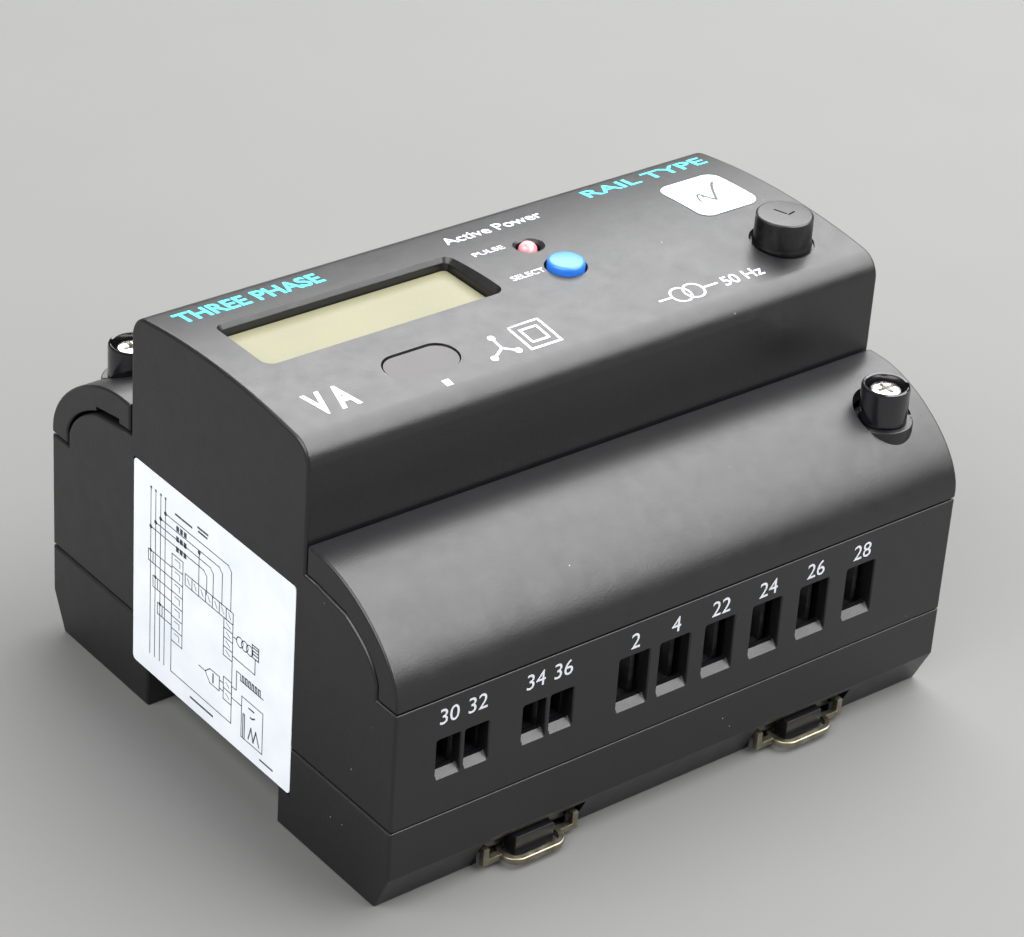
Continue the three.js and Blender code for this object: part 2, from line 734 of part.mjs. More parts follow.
/** Moulded terminal block with a wire hole and a screw hole for each way, facing -Y. */
function makeTerminalBlock(middle, ways, { pitch, screwY, screwRadius }, bore) {
  const half = (ways * pitch) / 2 + 0.3;
  let block = cuboid([middle - half, middle + half], [-42.4, -32.4], [BOARD_Z + BOARD, 30.6]);
  for (const x of wayPlaces(middle, ways, pitch)) {
    block = cut(
      block,
      cuboid([x - bore.width / 2, x + bore.width / 2], [-43, -35], [bore.z0, bore.z1]),
      rod(screwRadius + 0.2, x, -screwY, 28.4, 31, 12),
      rod(1.5, x, -screwY, 26, 29, 12),
    );
  }
  return block;
}

// ---------------------------------------------------------------- boards and what is on them

function makeMainBoard() {
  const { x, y } = CASING_SCREW;
  const plate = cuboid([-50, 50], [-41.2, 41.2], [BOARD_Z, BOARD_Z + BOARD]);
  const corner = cuboid([x - 3.8, 51], [-42, -y + 3.8], [10, 20]);
  return cut(plate, corner, halfTurn(corner));
}

function makeDisplayBoard() {
  return cuboid([-48.5, 48.5], [-19.6, 19.6], [DISPLAY_BOARD_Z, DISPLAY_BOARD_Z + BOARD]);
}

function makeLockSwitch() {
  const z = DISPLAY_BOARD_Z + BOARD;
  return cut(
    cuboid([KNOB.x - 4.5, KNOB.x + 4.5], [KNOB.y - 4.5, KNOB.y + 4.5], [z, z + 4]),
    rod(2.3, KNOB.x, KNOB.y, z + 1, z + 6),
  );
}

function makeScrollSwitch() {
  const z = DISPLAY_BOARD_Z + BOARD;
  return union(
    cuboid([BUTTON.x - 3, BUTTON.x + 3], [BUTTON.y - 3, BUTTON.y + 3], [z, z + 3]),
    rod(1.7, BUTTON.x, BUTTON.y, z + 2, z + 3.7),
  );
}

function makePowerTransformer() {
  const z = BOARD_Z + BOARD;
  return union(
    cuboid([-37, -13], [-6, 6], [z + 1, z + 20]),
    cuboid([-33, -17], [-10, 10], [z + 4, z + 17]),
    cuboid([-34, -16], [-9, 9], [z, z + 1.5]),
  );
}

function makeFilterCapacitor() {
  const z = BOARD_Z + BOARD;
  const can = turned([
    [0, z], [6, z], [6.3, z + 0.4], [6.3, z + 2.4], [5.9, z + 2.9], [6.3, z + 3.4], [6.3, z + 22], [5.8, z + 22.5],
    [0, z + 22.5],
  ], 20);
  return can.translate([4, 6, 0]);
}

function makeOutputRelay() {
  const z = BOARD_Z + BOARD;
  return cuboid([-46, -32], [-29.5, -20], [z, z + 10.5]);
}

function makeBackupBattery() {
  const z = BOARD_Z + BOARD;
  const cell = turned([[0, z], [8.5, z], [8.5, z + 1], [10, z + 1.4], [10, z + 3.6], [9.6, z + 4], [0, z + 4]]);
  return cell.translate([32, 5, 0]);
}

function makeBoardLink() {
  return cuboid([18, 40], [-17.6, -16.4], [BOARD_Z + BOARD, DISPLAY_BOARD_Z]);
}

// ---------------------------------------------------------------- assembly

const meter = new THREE.Group();

meter.add(
  piece('base_shell', makeBaseShell(), casingPlastic),
  piece('upper_housing', makeUpperHousing(), casingPlastic),
);

// Covers and sealing screws: each set is drawn on the +Y side.
const sealPlace = [-POST_X, POST_Y, 0];
const coverSets = { far: (body) => body, near: halfTurn };
for (const [side, place] of Object.entries(coverSets)) {
  meter.add(
    piece(`terminal_cover_${side}`, place(makeTerminalCover()), casingPlastic),
    piece(`seal_sleeve_${side}`, place(makeSealSleeve().translate(sealPlace)), sleevePlastic),
    piece(`seal_screw_${side}`, place(makeSealScrew().translate(sealPlace)), nickelSteel),
  );
}
const bolt = makeCasingScrew();
const { x: boltX, y: boltY } = CASING_SCREW;
meter.add(
  piece('casing_screw_far', bolt.translate([-boltX, boltY, 0]), nickelSteel),
  piece('casing_screw_near', bolt.translate([boltX, -boltY, 0]), nickelSteel),
);

// Front panel.
meter.add(
  piece('lock_knob', makeLockKnob().translate([KNOB.x, KNOB.y, 0]), knobPlastic),
  piece('lock_switch', makeLockSwitch(), terminalPlastic),
  piece('scroll_button', makeScrollButton().translate([BUTTON.x, BUTTON.y, 0]), bluePlastic),
  piece('scroll_switch', makeScrollSwitch(), terminalPlastic),
  piece('power_led', makePowerLed().translate([LED.x, LED.y, 0]), redLens),
  piece('infrared_window', makeInfraredWindow(), darkWindow),
  piece('lcd_glass', makeLcdGlass(), displayGlass),
  piece('lcd_frame', makeLcdFrame(), paleCarrier),
  piece('display_board', makeDisplayBoard(), boardGreen),
  piece('wiring_label', makeWiringLabel(), labelPaper),
  piece('check_sticker', makeCheckSticker(), labelPaper),
);

// Rail sliders and their pull loops.
for (const [side, x] of [['left', -CLIP_X], ['right', CLIP_X]]) {
  const slider = piece(`rail_clip_${side}`, makeRailClip(), casingPlastic);
  const pull = piece(`clip_pull_${side}`, makeClipPull(), springSteel);
  slider.position.x = x;
  pull.position.x = x;
  meter.add(slider, pull);
}

// Mains terminals.
for (const [name, x] of Object.entries(MAINS_X)) {
  const clamp = piece(`clamp_${name}`, makeCageClamp(), nickelSteel);
  const screw = piece(`screw_${name}`, makeCageScrew().translate([0, -MAINS.screwY, 0]), nickelSteel);
  clamp.position.x = x;
  screw.position.x = x;
  meter.add(clamp, screw);
}

// Terminal blocks. Those of the far side are drawn on the near side and turned half round.
const blocks = [
  ['relay_terminals', RELAY_X, ['r1', 'r2'], SIGNAL, SIGNAL_BORE, false],
  ['pulse_terminals', PULSE_X, ['p1', 'p2'], SIGNAL, SIGNAL_BORE, false],
  ['data_terminals', -DATA_X, ['d1', 'd2', 'd3'], SIGNAL, SIGNAL_BORE, true],
  ['current_terminals', -CURRENT_X, ['i1', 'i2', 'i3', 'i4', 'i5', 'i6'], CURRENT, CURRENT_BORE, true],
];
for (const [name, middle, ways, size, bore, onFarSide] of blocks) {
  const place = onFarSide ? halfTurn : (body) => body;
  const block = makeTerminalBlock(middle, ways.length, size, bore);
  meter.add(piece(name, place(block), terminalPlastic));
  wayPlaces(middle, ways.length, size.pitch).forEach((x, i) => {
    const screw = makeBlockScrew(size.screwRadius).translate([x, -size.screwY, 0]);
    meter.add(piece(`screw_${ways[i]}`, place(screw), nickelSteel));
  });
}

// Boards and what is on them.
meter.add(
  piece('main_board', makeMainBoard(), boardGreen),
  piece('power_transformer', makePowerTransformer(), coreSteel),
  piece('filter_capacitor', makeFilterCapacitor(), canAluminium),
  piece('output_relay', makeOutputRelay(), relayPlastic),
  piece('backup_battery', makeBackupBattery(), nickelSteel),
  piece('board_link', makeBoardLink(), terminalPlastic),
);

// The pull loops stand out on one side, so the casing sits off the origin by half of that.
meter.position.y = (PULL_REACH - HALF_DEPTH) / 2;

export default meter;
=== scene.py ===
import math

import bmesh
import bpy
from bpy.props import FloatProperty, FloatVectorProperty, PointerProperty
from mathutils import Matrix, Vector


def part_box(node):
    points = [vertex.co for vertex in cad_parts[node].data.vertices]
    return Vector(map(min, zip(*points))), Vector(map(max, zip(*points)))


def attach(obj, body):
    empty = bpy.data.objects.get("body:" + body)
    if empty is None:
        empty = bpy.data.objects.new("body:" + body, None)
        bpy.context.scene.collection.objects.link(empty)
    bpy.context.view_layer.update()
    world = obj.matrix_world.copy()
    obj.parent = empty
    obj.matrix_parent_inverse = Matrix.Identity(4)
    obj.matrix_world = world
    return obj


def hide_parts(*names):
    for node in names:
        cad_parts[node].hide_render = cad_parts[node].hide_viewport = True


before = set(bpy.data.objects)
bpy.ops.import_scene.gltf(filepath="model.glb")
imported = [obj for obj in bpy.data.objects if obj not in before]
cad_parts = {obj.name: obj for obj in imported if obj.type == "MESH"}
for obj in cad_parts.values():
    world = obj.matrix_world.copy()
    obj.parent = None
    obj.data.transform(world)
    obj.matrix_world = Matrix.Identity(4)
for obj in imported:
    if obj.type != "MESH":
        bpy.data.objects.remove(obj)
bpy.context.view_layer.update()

bl_info = {
    "name": "Rail meter looks",
    "version": (1, 0, 0),
    "blender": (4, 5, 0),
    "location": "View3D > Sidebar > Meter",
    "description": "Builds the finished surfaces of a rail-mounted electric meter round its CAD frame",
    "category": "Object",
}

MM = 0.001


def node_box(node):
    """A CAD node's lowest and highest corner in millimetres, with the casing's middle at y = 0."""
    low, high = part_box(node)
    return (low - CASING_MIDDLE) / MM, (high - CASING_MIDDLE) / MM


BASE_LOW, BASE_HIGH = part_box("base_shell")
CASING_MIDDLE = Vector((0, (BASE_LOW.y + BASE_HIGH.y) / 2, 0))

# Sizes in millimetres. Those of the outside come from the CAD nodes, less the thickness of the printing.
PRINT_ROOM = 0.03
HALF_LENGTH = node_box("base_shell")[1].x - PRINT_ROOM
HALF_DEPTH = node_box("base_shell")[1].y - PRINT_ROOM
TOP_Z = node_box("upper_housing")[1].z
PART_Z = 15.0
PART_GAP = 0.1
SEAM_Z = 35.4
COVER_GAP = 0.3
DECK_Z = 33.0
STEP_Z = node_box("terminal_cover_near")[1].z
WALL = 2.0
BLOCK_HALF = 22.5
BLOCK_FILLET = 4.0
CROWN_RADIUS = 130.0
CHAMFER_Z = 6.6
FOOT_HALF = 41.8
RAIL_HALF = 17.5
RAIL_SEAT_Z = 6.5
SEAT_HALF = 15.2
SEAT_RAISE = 0.3
FLOOR_Z = 8.3
POST_SEAT_Z = 47.4
CLIP_X = 26.5
DISPLAY_WIDTH = 41.0
DISPLAY_HEIGHT = 12.8
PANE_CLEARANCE = 0.15
PANE_RISE = 1.2
INFRARED_LENGTH = 12.2
INFRARED_WIDTH = 6.0
LIGHT_HOLE = 1.95
BUTTON_HOLE = 3.2
KNOB_SHAFT_HOLE = 2.4
KNOB_ROOM = 0.45
SCREW_HEAD_HOLE = 2.7
SCREW_SHAFT_HOLE = 1.8
SLIDER_HALF = 7.9
FLANGE_HALF = 9.4
FLANGE_LOW = 2.4
FLANGE_HIGH = 4.6
PULL_Y = -43.75
END_POCKET = ((-20.7, 21.7), (6.7, 43.1))
SILL = 0.85
MAINS_MOUTH = (5.7, 20.4, 29.6)
SIGNAL_MOUTH = (4.2, 21.6, 28.2)
INK = 0.02
INK_LIFT = 0.008
STRIP = 0.9

SMOOTH_ANGLE = 32.0

# The camera's place and the floor's reach are in metres, and its lens is in millimetres.
CAMERA_PLACE = (-0.29278, -0.35075, 0.31136)
CAMERA_RIGHT = (0.78841, -0.61210, 0.06110)
CAMERA_FORWARD = (0.54949, 0.65613, -0.51725)
CAMERA_LENS = 121.82
FLOOR_REACH = 4.0

MAINS_WAYS = ("l", "n", "v1", "v2", "v3", "vn")
NEAR_WAYS = ("r1", "r2", "p1", "p2")
DATA_WAYS = ("d1", "d2", "d3")
CURRENT_WAYS = ("i1", "i2", "i3", "i4", "i5", "i6")


def middle(node):
    low, high = node_box(node)
    return (low + high) / 2


# ---------------------------------------------------------------- outlines


def arc(centre_u, centre_v, radius, start, end, steps):
    """Points along an arc, both ends included. Angles are in degrees."""
    points = []
    for i in range(steps + 1):
        angle = math.radians(start + (end - start) * i / steps)
        points.append((centre_u + radius * math.cos(angle), centre_v + radius * math.sin(angle)))
    return points


def bezier(p0, p1, p2, p3, steps):
    """Points along a cubic curve, without its first point."""
    points = []
    for i in range(1, steps + 1):
        t = i / steps
        weights = ((1 - t) ** 3, 3 * t * (1 - t) ** 2, 3 * t * t * (1 - t), t ** 3)
        points.append(tuple(
            sum(w * p[k] for w, p in zip(weights, (p0, p1, p2, p3))) for k in (0, 1)))
    return points


def rounded(centre_u, centre_v, width, height, radius, steps=6):
    """A rectangle with round corners, anticlockwise."""
    u, v = width / 2 - radius, height / 2 - radius
    points = []
    for sign_u, sign_v, start in ((1, -1, -90), (1, 1, 0), (-1, 1, 90), (-1, -1, 180)):
        points += arc(centre_u + sign_u * u, centre_v + sign_v * v, radius, start, start + 90, steps)
    return points


def circle(centre_u, centre_v, radius, steps=48):
    return arc(centre_u, centre_v, radius, 0, 360, steps)[:-1]


def inset(points, distance):
    """The outline moved inwards by a distance, corner by corner."""
    count = len(points)
    area = sum(points[i][0] * points[(i + 1) % count][1] - points[(i + 1) % count][0] * points[i][1]
               for i in range(count))
    turn = 1 if area > 0 else -1
    moved = []
    for i in range(count):
        here = Vector(points[i])
        before = (here - Vector(points[i - 1])).normalized()
        after = (Vector(points[(i + 1) % count]) - here).normalized()
        normal = Vector((-before.y - after.y, before.x + after.x)) * turn
        size = max(normal.length_squared, 0.3)
        moved.append(tuple(here + normal * (2 * distance / size)))
    return moved


def rounded_at(corners, shrink=0.0):
    """The outline moved in by shrink. A corner's third value, where it has one, is its radius."""
    flat = inset([corner[:2] for corner in corners], shrink)
    count = len(corners)
    area = sum(flat[i - 1][0] * flat[i][1] - flat[i][0] * flat[i - 1][1] for i in range(count))
    points = []
    for i, corner in enumerate(corners):
        here = Vector(flat[i])
        if len(corner) < 3:
            points.append(tuple(here))
            continue
        before, after = Vector(flat[i - 1]) - here, Vector(flat[(i + 1) % count]) - here
        bulges = before.x * after.y - before.y * after.x < 0
        radius = max(corner[2] - shrink, 0.02) if bulges == (area > 0) else corner[2] + shrink
        reach = radius / math.tan(before.angle(after) / 2)
        reach = min(reach, 0.45 * before.length, 0.45 * after.length)
        start, end = here + before.normalized() * reach, here + after.normalized() * reach
        for step in range(5):
            t = step / 4
            points.append(tuple((1 - t) ** 2 * start + 2 * t * (1 - t) * here + t * t * end))
    return points


def crown_height(y):
    """Height of the front block's crowned top."""
    return TOP_Z - CROWN_RADIUS + math.sqrt(CROWN_RADIUS ** 2 - y ** 2)


def block_top(shrink, steps=32):
    """The front block's fillets and crown in (y, z), from the +Y wall over to the -Y wall."""
    crown_z = TOP_Z - CROWN_RADIUS
    fillet_y = BLOCK_HALF - BLOCK_FILLET
    reach = CROWN_RADIUS - BLOCK_FILLET
    fillet_z = crown_z + math.sqrt(reach ** 2 - fillet_y ** 2)
    tangent = math.degrees(math.acos(fillet_y / reach))
    fillet = BLOCK_FILLET - shrink
    points = arc(fillet_y, fillet_z, fillet, 0, tangent, 14)
    points += arc(0, crown_z, CROWN_RADIUS - shrink, tangent, 180 - tangent, steps)[1:]
    points += arc(-fillet_y, fillet_z, fillet, 180 - tangent, 180, 14)[1:]
    return points


def shoulder(clearance):
    """The end walls' shoulder from the seam up to the block, on the +Y side, in (y, z)."""
    foot = 40.2 + clearance
    points = [(foot, SEAM_Z - 0.2 + clearance), (foot, 37.6 + clearance)]
    corner = (39 + clearance, 42 + clearance)
    end = (32.2, 45 + 1.3 * clearance)
    start = points[-1]
    for i in range(1, 15):
        t = i / 14
        points.append(tuple(
            (1 - t) ** 2 * start[k] + 2 * t * (1 - t) * corner[k] + t * t * end[k] for k in (0, 1)))
    points.append((25.2, 46.1 + clearance))
    return points


def cover_curve(shrink, steps=40):
    """The cover's rounded outside in (y, z), from its top edge down to the long wall."""
    top = STEP_Z - shrink
    wall = HALF_DEPTH - shrink
    start = (25.5, top)
    curve = bezier(start, (34 - 0.4 * shrink, top), (wall, 43.5 - 0.4 * shrink), (wall, 36.5), steps)
    return [start] + curve


# ---------------------------------------------------------------- solids
# Solids are drawn in millimetres about the casing's middle and made into objects at the end.

AXES = {
    "X": lambda u, v, w: (w, u, v),
    "Y": lambda u, v, w: (u, w, v),
    "Z": lambda u, v, w: (u, v, w),
}


def skin(sections, axis="Z"):
    """A closed solid through outlines with equal numbers of points, each at its own height."""
    place = AXES[axis]
    solid = bmesh.new()
    rings = []
    for points, height in sections:
        rings.append([solid.verts.new(place(u, v, height)) for u, v in points])
    for low, high in zip(rings, rings[1:]):
        for i in range(len(low)):
            j = (i + 1) % len(low)
            solid.faces.new((low[i], low[j], high[j], high[i]))
    solid.faces.new(rings[0])
    solid.faces.new(rings[-1])
    bmesh.ops.recalc_face_normals(solid, faces=solid.faces)
    return solid


def prism(points, low, high, axis="Z", soft=0.0):
    """An outline drawn out between two heights. Its end edges are rounded by soft."""
    if soft <= 0:
        outline = rounded_at(points)
        return skin([(outline, low), (outline, high)], axis)
    sections = []
    for i in range(4):
        angle = math.radians(90 * i / 3)
        sections.append((soft * (1 - math.sin(angle)), soft * (1 - math.cos(angle))))
    below = [(rounded_at(points, shrink), low + rise) for shrink, rise in sections]
    above = [(rounded_at(points, shrink), high - rise) for shrink, rise in reversed(sections)]
    return skin(below + above, axis)


def block(x, y, z, soft=0.0):
    """A box between two values on each axis."""
    (x0, x1), (y0, y1), (z0, z1) = x, y, z
    solid = prism([(x0, y0), (x1, y0), (x1, y1), (x0, y1)], z0, z1)
    if soft > 0:
        bmesh.ops.bevel(solid, geom=solid.edges[:], offset=soft, segments=2, affect="EDGES", profile=0.5)
    return solid


def turned(profile, x=0.0, y=0.0, sides=48):
    """A solid of revolution about an upright axis. The profile is (radius, z) points from axis to axis."""
    solid = bmesh.new()
    rings = []
    for radius, z in profile:
        if radius < 1e-6:
            rings.append([solid.verts.new((x, y, z))])
        else:
            rings.append([
                solid.verts.new((x + u, y + v, z)) for u, v in circle(0, 0, radius, sides)])
    for low, high in zip(rings, rings[1:]):
        for i in range(sides):
            j = (i + 1) % sides
            corners = [low[i % len(low)], low[j % len(low)], high[j % len(high)], high[i % len(high)]]
            solid.faces.new(list(dict.fromkeys(corners)))
    bmesh.ops.recalc_face_normals(solid, faces=solid.faces)
    return solid


def rod(radius, x, y, z0, z1, sides=40):
    return turned([(0, z0), (radius, z0), (radius, z1), (0, z1)], x, y, sides)


def together(*solids):
    """Several solids in one mesh, as they are."""
    result = bmesh.new()
    for solid in solids:
        mesh = bpy.data.meshes.new("part")
        solid.to_mesh(mesh)
        result.from_mesh(mesh)
        bpy.data.meshes.remove(mesh)
        solid.free()
    return result


def half_turned(solid):
    """A copy of the solid, turned half round about Z."""
    copy = solid.copy()
    copy.transform(Matrix.Rotation(math.pi, 4, "Z"))
    return copy


def shifted(solid, x, y=0.0):
    solid.transform(Matrix.Translation((x, y, 0)))
    return solid


def scratch_object(solid, name):
    mesh = bpy.data.meshes.new(name)
    solid.to_mesh(mesh)
    solid.free()
    thing = bpy.data.objects.new(name, mesh)
    bpy.context.scene.collection.objects.link(thing)
    return thing


OPERATIONS = {"cut": "DIFFERENCE", "join": "UNION", "keep": "INTERSECT"}


def combine(solid, steps):
    """Cuts tools out of a solid, joins them to it or keeps what lies inside them, one after another."""
    body = scratch_object(solid, "body")
    tools = []
    for kind, tool in steps:
        thing = scratch_object(tool, "tool")
        modifier = body.modifiers.new(kind, "BOOLEAN")
        modifier.operation = OPERATIONS[kind]
        modifier.solver = "MANIFOLD"
        modifier.object = thing
        tools.append(thing)
    evaluated = body.evaluated_get(bpy.context.evaluated_depsgraph_get())
    mesh = bpy.data.meshes.new_from_object(evaluated)
    result = bmesh.new()
    result.from_mesh(mesh)
    bpy.data.meshes.remove(mesh)
    for thing in [body] + tools:
        scrap = thing.data
        bpy.data.objects.remove(thing)
        bpy.data.meshes.remove(scrap)
    if not result.faces:
        raise RuntimeError("a boolean left nothing of a solid")
    return result


def make_piece(name, solid, material, body, replaces=()):
    """Turns a solid into a shown object, in metres, on a CAD body."""
    bmesh.ops.remove_doubles(solid, verts=solid.verts, dist=0.0005)
    bmesh.ops.dissolve_degenerate(solid, edges=solid.edges, dist=0.0005)
    solid.transform(Matrix.Translation(CASING_MIDDLE) @ Matrix.Scale(MM, 4))
    mesh = bpy.data.meshes.new(name)
    solid.to_mesh(mesh)
    solid.free()
    mesh.materials.append(material)
    thing = bpy.data.objects.new(name, mesh)
    bpy.context.scene.collection.objects.link(thing)
    mesh.shade_smooth()
    mesh.set_sharp_from_angle(angle=math.radians(SMOOTH_ANGLE))
    flats = thing.modifiers.new("flats", "WEIGHTED_NORMAL")
    flats.keep_sharp = True
    flats.weight = 100
    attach(thing, body)
    if replaces:
        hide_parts(*replaces)
    return thing


def finish_node(node, material):
    """Gives a CAD node that stays in view its material."""
    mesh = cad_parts[node].data
    mesh.materials.clear()
    mesh.materials.append(material)


# ---------------------------------------------------------------- materials


def srgb(code):
    """A hex colour as linear red, green, blue and full alpha."""
    channels = [int(code[i:i + 2], 16) / 255 for i in (0, 2, 4)]
    return tuple(c / 12.92 if c <= 0.04045 else ((c + 0.055) / 1.055) ** 2.4 for c in channels) + (1.0,)


def add(tree, kind, settings=None, links=None, stops=(), **options):
    """Adds a node with its own options, its socket values, its incoming links and its ramp's stops."""
    node = tree.nodes.new(kind)
    for key, value in options.items():
        setattr(node, key, value)
    for socket, value in (settings or {}).items():
        node.inputs[socket].default_value = value
    for socket, source in (links or {}).items():
        output = source.outputs[0] if isinstance(source, bpy.types.Node) else source
        tree.links.new(output, node.inputs[socket])
    for i, (position, color) in enumerate(stops):
        node.color_ramp.elements[i].position = position
        node.color_ramp.elements[i].color = color
    return node


def start_material(name):
    """An empty material, its node tree and the place on the object that its patterns follow."""
    material = bpy.data.materials.new(name)
    material.use_nodes = True
    tree = material.node_tree
    tree.nodes.clear()
    return material, tree, add(tree, "ShaderNodeTexCoord").outputs["Object"]


def close_material(tree, settings, links):
    shader = add(tree, "ShaderNodeBsdfPrincipled", settings, links)
    add(tree, "ShaderNodeOutputMaterial", links={"Surface": shader})


def per_size(millimetres):
    """The texture scale at which one feature is this wide."""
    return 1 / (millimetres * MM)


def grey(value):
    return (value, value, value, 1.0)


def scaled(color, factor):
    return tuple(c * factor for c in color[:3]) + (1.0,)


def moulded_polycarbonate(looks):
    """Black polycarbonate moulded in a spark-eroded tool.

    The eye gets a soft grey sheen broken by a grain of about a third of a millimetre, slow changes of gloss
    from handling, and single specks of dust.
    """
    color = tuple(looks.casing_color)
    matt = looks.casing_roughness
    material, tree, place = start_material("moulded_polycarbonate")
    clouds = add(tree, "ShaderNodeTexNoise", {"Scale": per_size(14), "Detail": 3.0}, {"Vector": place})
    tone = add(tree, "ShaderNodeValToRGB", links={"Fac": clouds},
               stops=((0.3, scaled(color, 0.88)), (0.75, scaled(color, 1.14))))
    # Dust specks are drawn a little coarser than real ones, so that single specks can be seen.
    cells = add(tree, "ShaderNodeTexVoronoi", {"Scale": per_size(2.6)}, {"Vector": place})
    specks = add(tree, "ShaderNodeValToRGB", links={"Fac": cells},
                 stops=((0.035, grey(1)), (0.05, grey(0))))
    areas = add(tree, "ShaderNodeTexNoise", {"Scale": per_size(5.2), "Detail": 0.0}, {"Vector": place})
    chosen = add(tree, "ShaderNodeValToRGB", links={"Fac": areas},
                 stops=((0.66, grey(0)), (0.68, grey(1))))
    lone = add(tree, "ShaderNodeMath", links={0: specks, 1: chosen}, operation="MULTIPLY")
    dusty = add(tree, "ShaderNodeMix", {7: srgb("8f8d88")}, {"Factor": lone, 6: tone}, data_type="RGBA")
    haze = add(tree, "ShaderNodeTexNoise", {"Scale": per_size(3.2), "Detail": 4.0, "Roughness": 0.65},
               {"Vector": place})
    gloss = add(tree, "ShaderNodeValToRGB", links={"Fac": haze},
                stops=((0.25, grey(matt - 0.04)), (0.8, grey(matt + 0.08))))
    grain = add(tree, "ShaderNodeTexNoise",
                {"Scale": per_size(looks.grain_size / MM), "Detail": 3.0, "Roughness": 0.6},
                {"Vector": place})
    bump = add(tree, "ShaderNodeBump", {"Strength": 0.3, "Distance": 0.00008}, {"Height": grain})
    close_material(tree, {"IOR": 1.54},
                   {"Base Color": dusty.outputs[2], "Roughness": gloss, "Normal": bump})
    return material


def glossy_polycarbonate():
    """Black polycarbonate from a polished tool: sharp small highlights and hardly any grain."""
    material, tree, place = start_material("glossy_polycarbonate")
    haze = add(tree, "ShaderNodeTexNoise", {"Scale": per_size(1.6), "Detail": 4.0}, {"Vector": place})
    tone = add(tree, "ShaderNodeValToRGB", links={"Fac": haze},
               stops=((0.3, srgb("101013")), (0.8, srgb("17171b"))))
    gloss = add(tree, "ShaderNodeValToRGB", links={"Fac": haze},
                stops=((0.3, grey(0.12)), (0.8, grey(0.24))))
    waves = add(tree, "ShaderNodeTexNoise", {"Scale": per_size(0.7)}, {"Vector": place})
    bump = add(tree, "ShaderNodeBump", {"Strength": 0.08, "Distance": 0.00004}, {"Height": waves})
    close_material(tree, {"IOR": 1.58}, {"Base Color": tone, "Roughness": gloss, "Normal": bump})
    return material


def satin_knob_abs():
    """Black ABS with a satin tool finish, handled until it has gone lighter in places."""
    material, tree, place = start_material("satin_knob_abs")
    scuffs = add(tree, "ShaderNodeTexNoise", {"Scale": per_size(0.9), "Detail": 5.0, "Roughness": 0.7},
                 {"Vector": place})
    tone = add(tree, "ShaderNodeValToRGB", links={"Fac": scuffs},
               stops=((0.45, srgb("0b0b0b")), (0.8, srgb("1d1d1c"))))
    gloss = add(tree, "ShaderNodeValToRGB", links={"Fac": scuffs},
                stops=((0.3, grey(0.26)), (0.8, grey(0.4))))
    grain = add(tree, "ShaderNodeTexNoise", {"Scale": per_size(0.25)}, {"Vector": place})
    bump = add(tree, "ShaderNodeBump", {"Strength": 0.12, "Distance": 0.00005}, {"Height": grain})
    close_material(tree, {"IOR": 1.5}, {"Base Color": tone, "Roughness": gloss, "Normal": bump})
    return material


def blue_abs(looks):
    """Blue ABS from a fine satin tool: an even, slightly soft colour with a mild sheen."""
    color = tuple(looks.button_color)
    material, tree, place = start_material("blue_abs")
    mottle = add(tree, "ShaderNodeTexNoise", {"Scale": per_size(1.1), "Detail": 3.0}, {"Vector": place})
    tone = add(tree, "ShaderNodeValToRGB", links={"Fac": mottle},
               stops=((0.3, scaled(color, 0.9)), (0.75, scaled(color, 1.1))))
    grain = add(tree, "ShaderNodeTexNoise", {"Scale": per_size(0.22)}, {"Vector": place})
    bump = add(tree, "ShaderNodeBump", {"Strength": 0.1, "Distance": 0.00004}, {"Height": grain})
    close_material(
        tree,
        {"Roughness": 0.34, "IOR": 1.54, "Subsurface Weight": 0.1,
         "Subsurface Radius": (0.0004, 0.0008, 0.0016), "Subsurface Scale": 1.0},
        {"Base Color": tone, "Normal": bump})
    return material


def red_epoxy():
    """Red diffused epoxy of a light-emitting diode, unlit, with a wet highlight; its base colour is a
    painted highlight, pale pink all over in place of the lens's deeper red.
    """
    material, tree, place = start_material("red_epoxy")
    painted_highlight_mottle = add(tree, "ShaderNodeTexNoise", {"Scale": per_size(0.8)}, {"Vector": place})
    # Both stops are painted highlight: the whole dome is coloured pale pink to stand in for the reflection
    # of a broad light, and the noise only mottles it.
    tone = add(tree, "ShaderNodeValToRGB", links={"Fac": painted_highlight_mottle},
               stops=((0.3, srgb("ea6f78")), (0.8, srgb("ffb2b6"))))
    close_material(
        tree,
        {"Roughness": 0.3, "IOR": 1.53, "Coat Weight": 1.0, "Coat Roughness": 0.22,
         "Subsurface Weight": 0.4, "Subsurface Radius": (0.0016, 0.0005, 0.0005), "Subsurface Scale": 1.0},
        {"Base Color": tone})
    return material


def smoked_polycarbonate():
    """Smoked polycarbonate that passes infrared: smoother and browner than the casing round it."""
    material, tree, place = start_material("smoked_polycarbonate")
    clouds = add(tree, "ShaderNodeTexNoise", {"Scale": per_size(5)}, {"Vector": place})
    tone = add(tree, "ShaderNodeValToRGB", links={"Fac": clouds},
               stops=((0.3, srgb("211e20")), (0.75, srgb("2a2628"))))
    waves = add(tree, "ShaderNodeTexNoise", {"Scale": per_size(0.8)}, {"Vector": place})
    bump = add(tree, "ShaderNodeBump", {"Strength": 0.06, "Distance": 0.00004}, {"Height": waves})
    close_material(tree, {"Roughness": 0.4, "IOR": 1.5}, {"Base Color": tone, "Normal": bump})
    return material


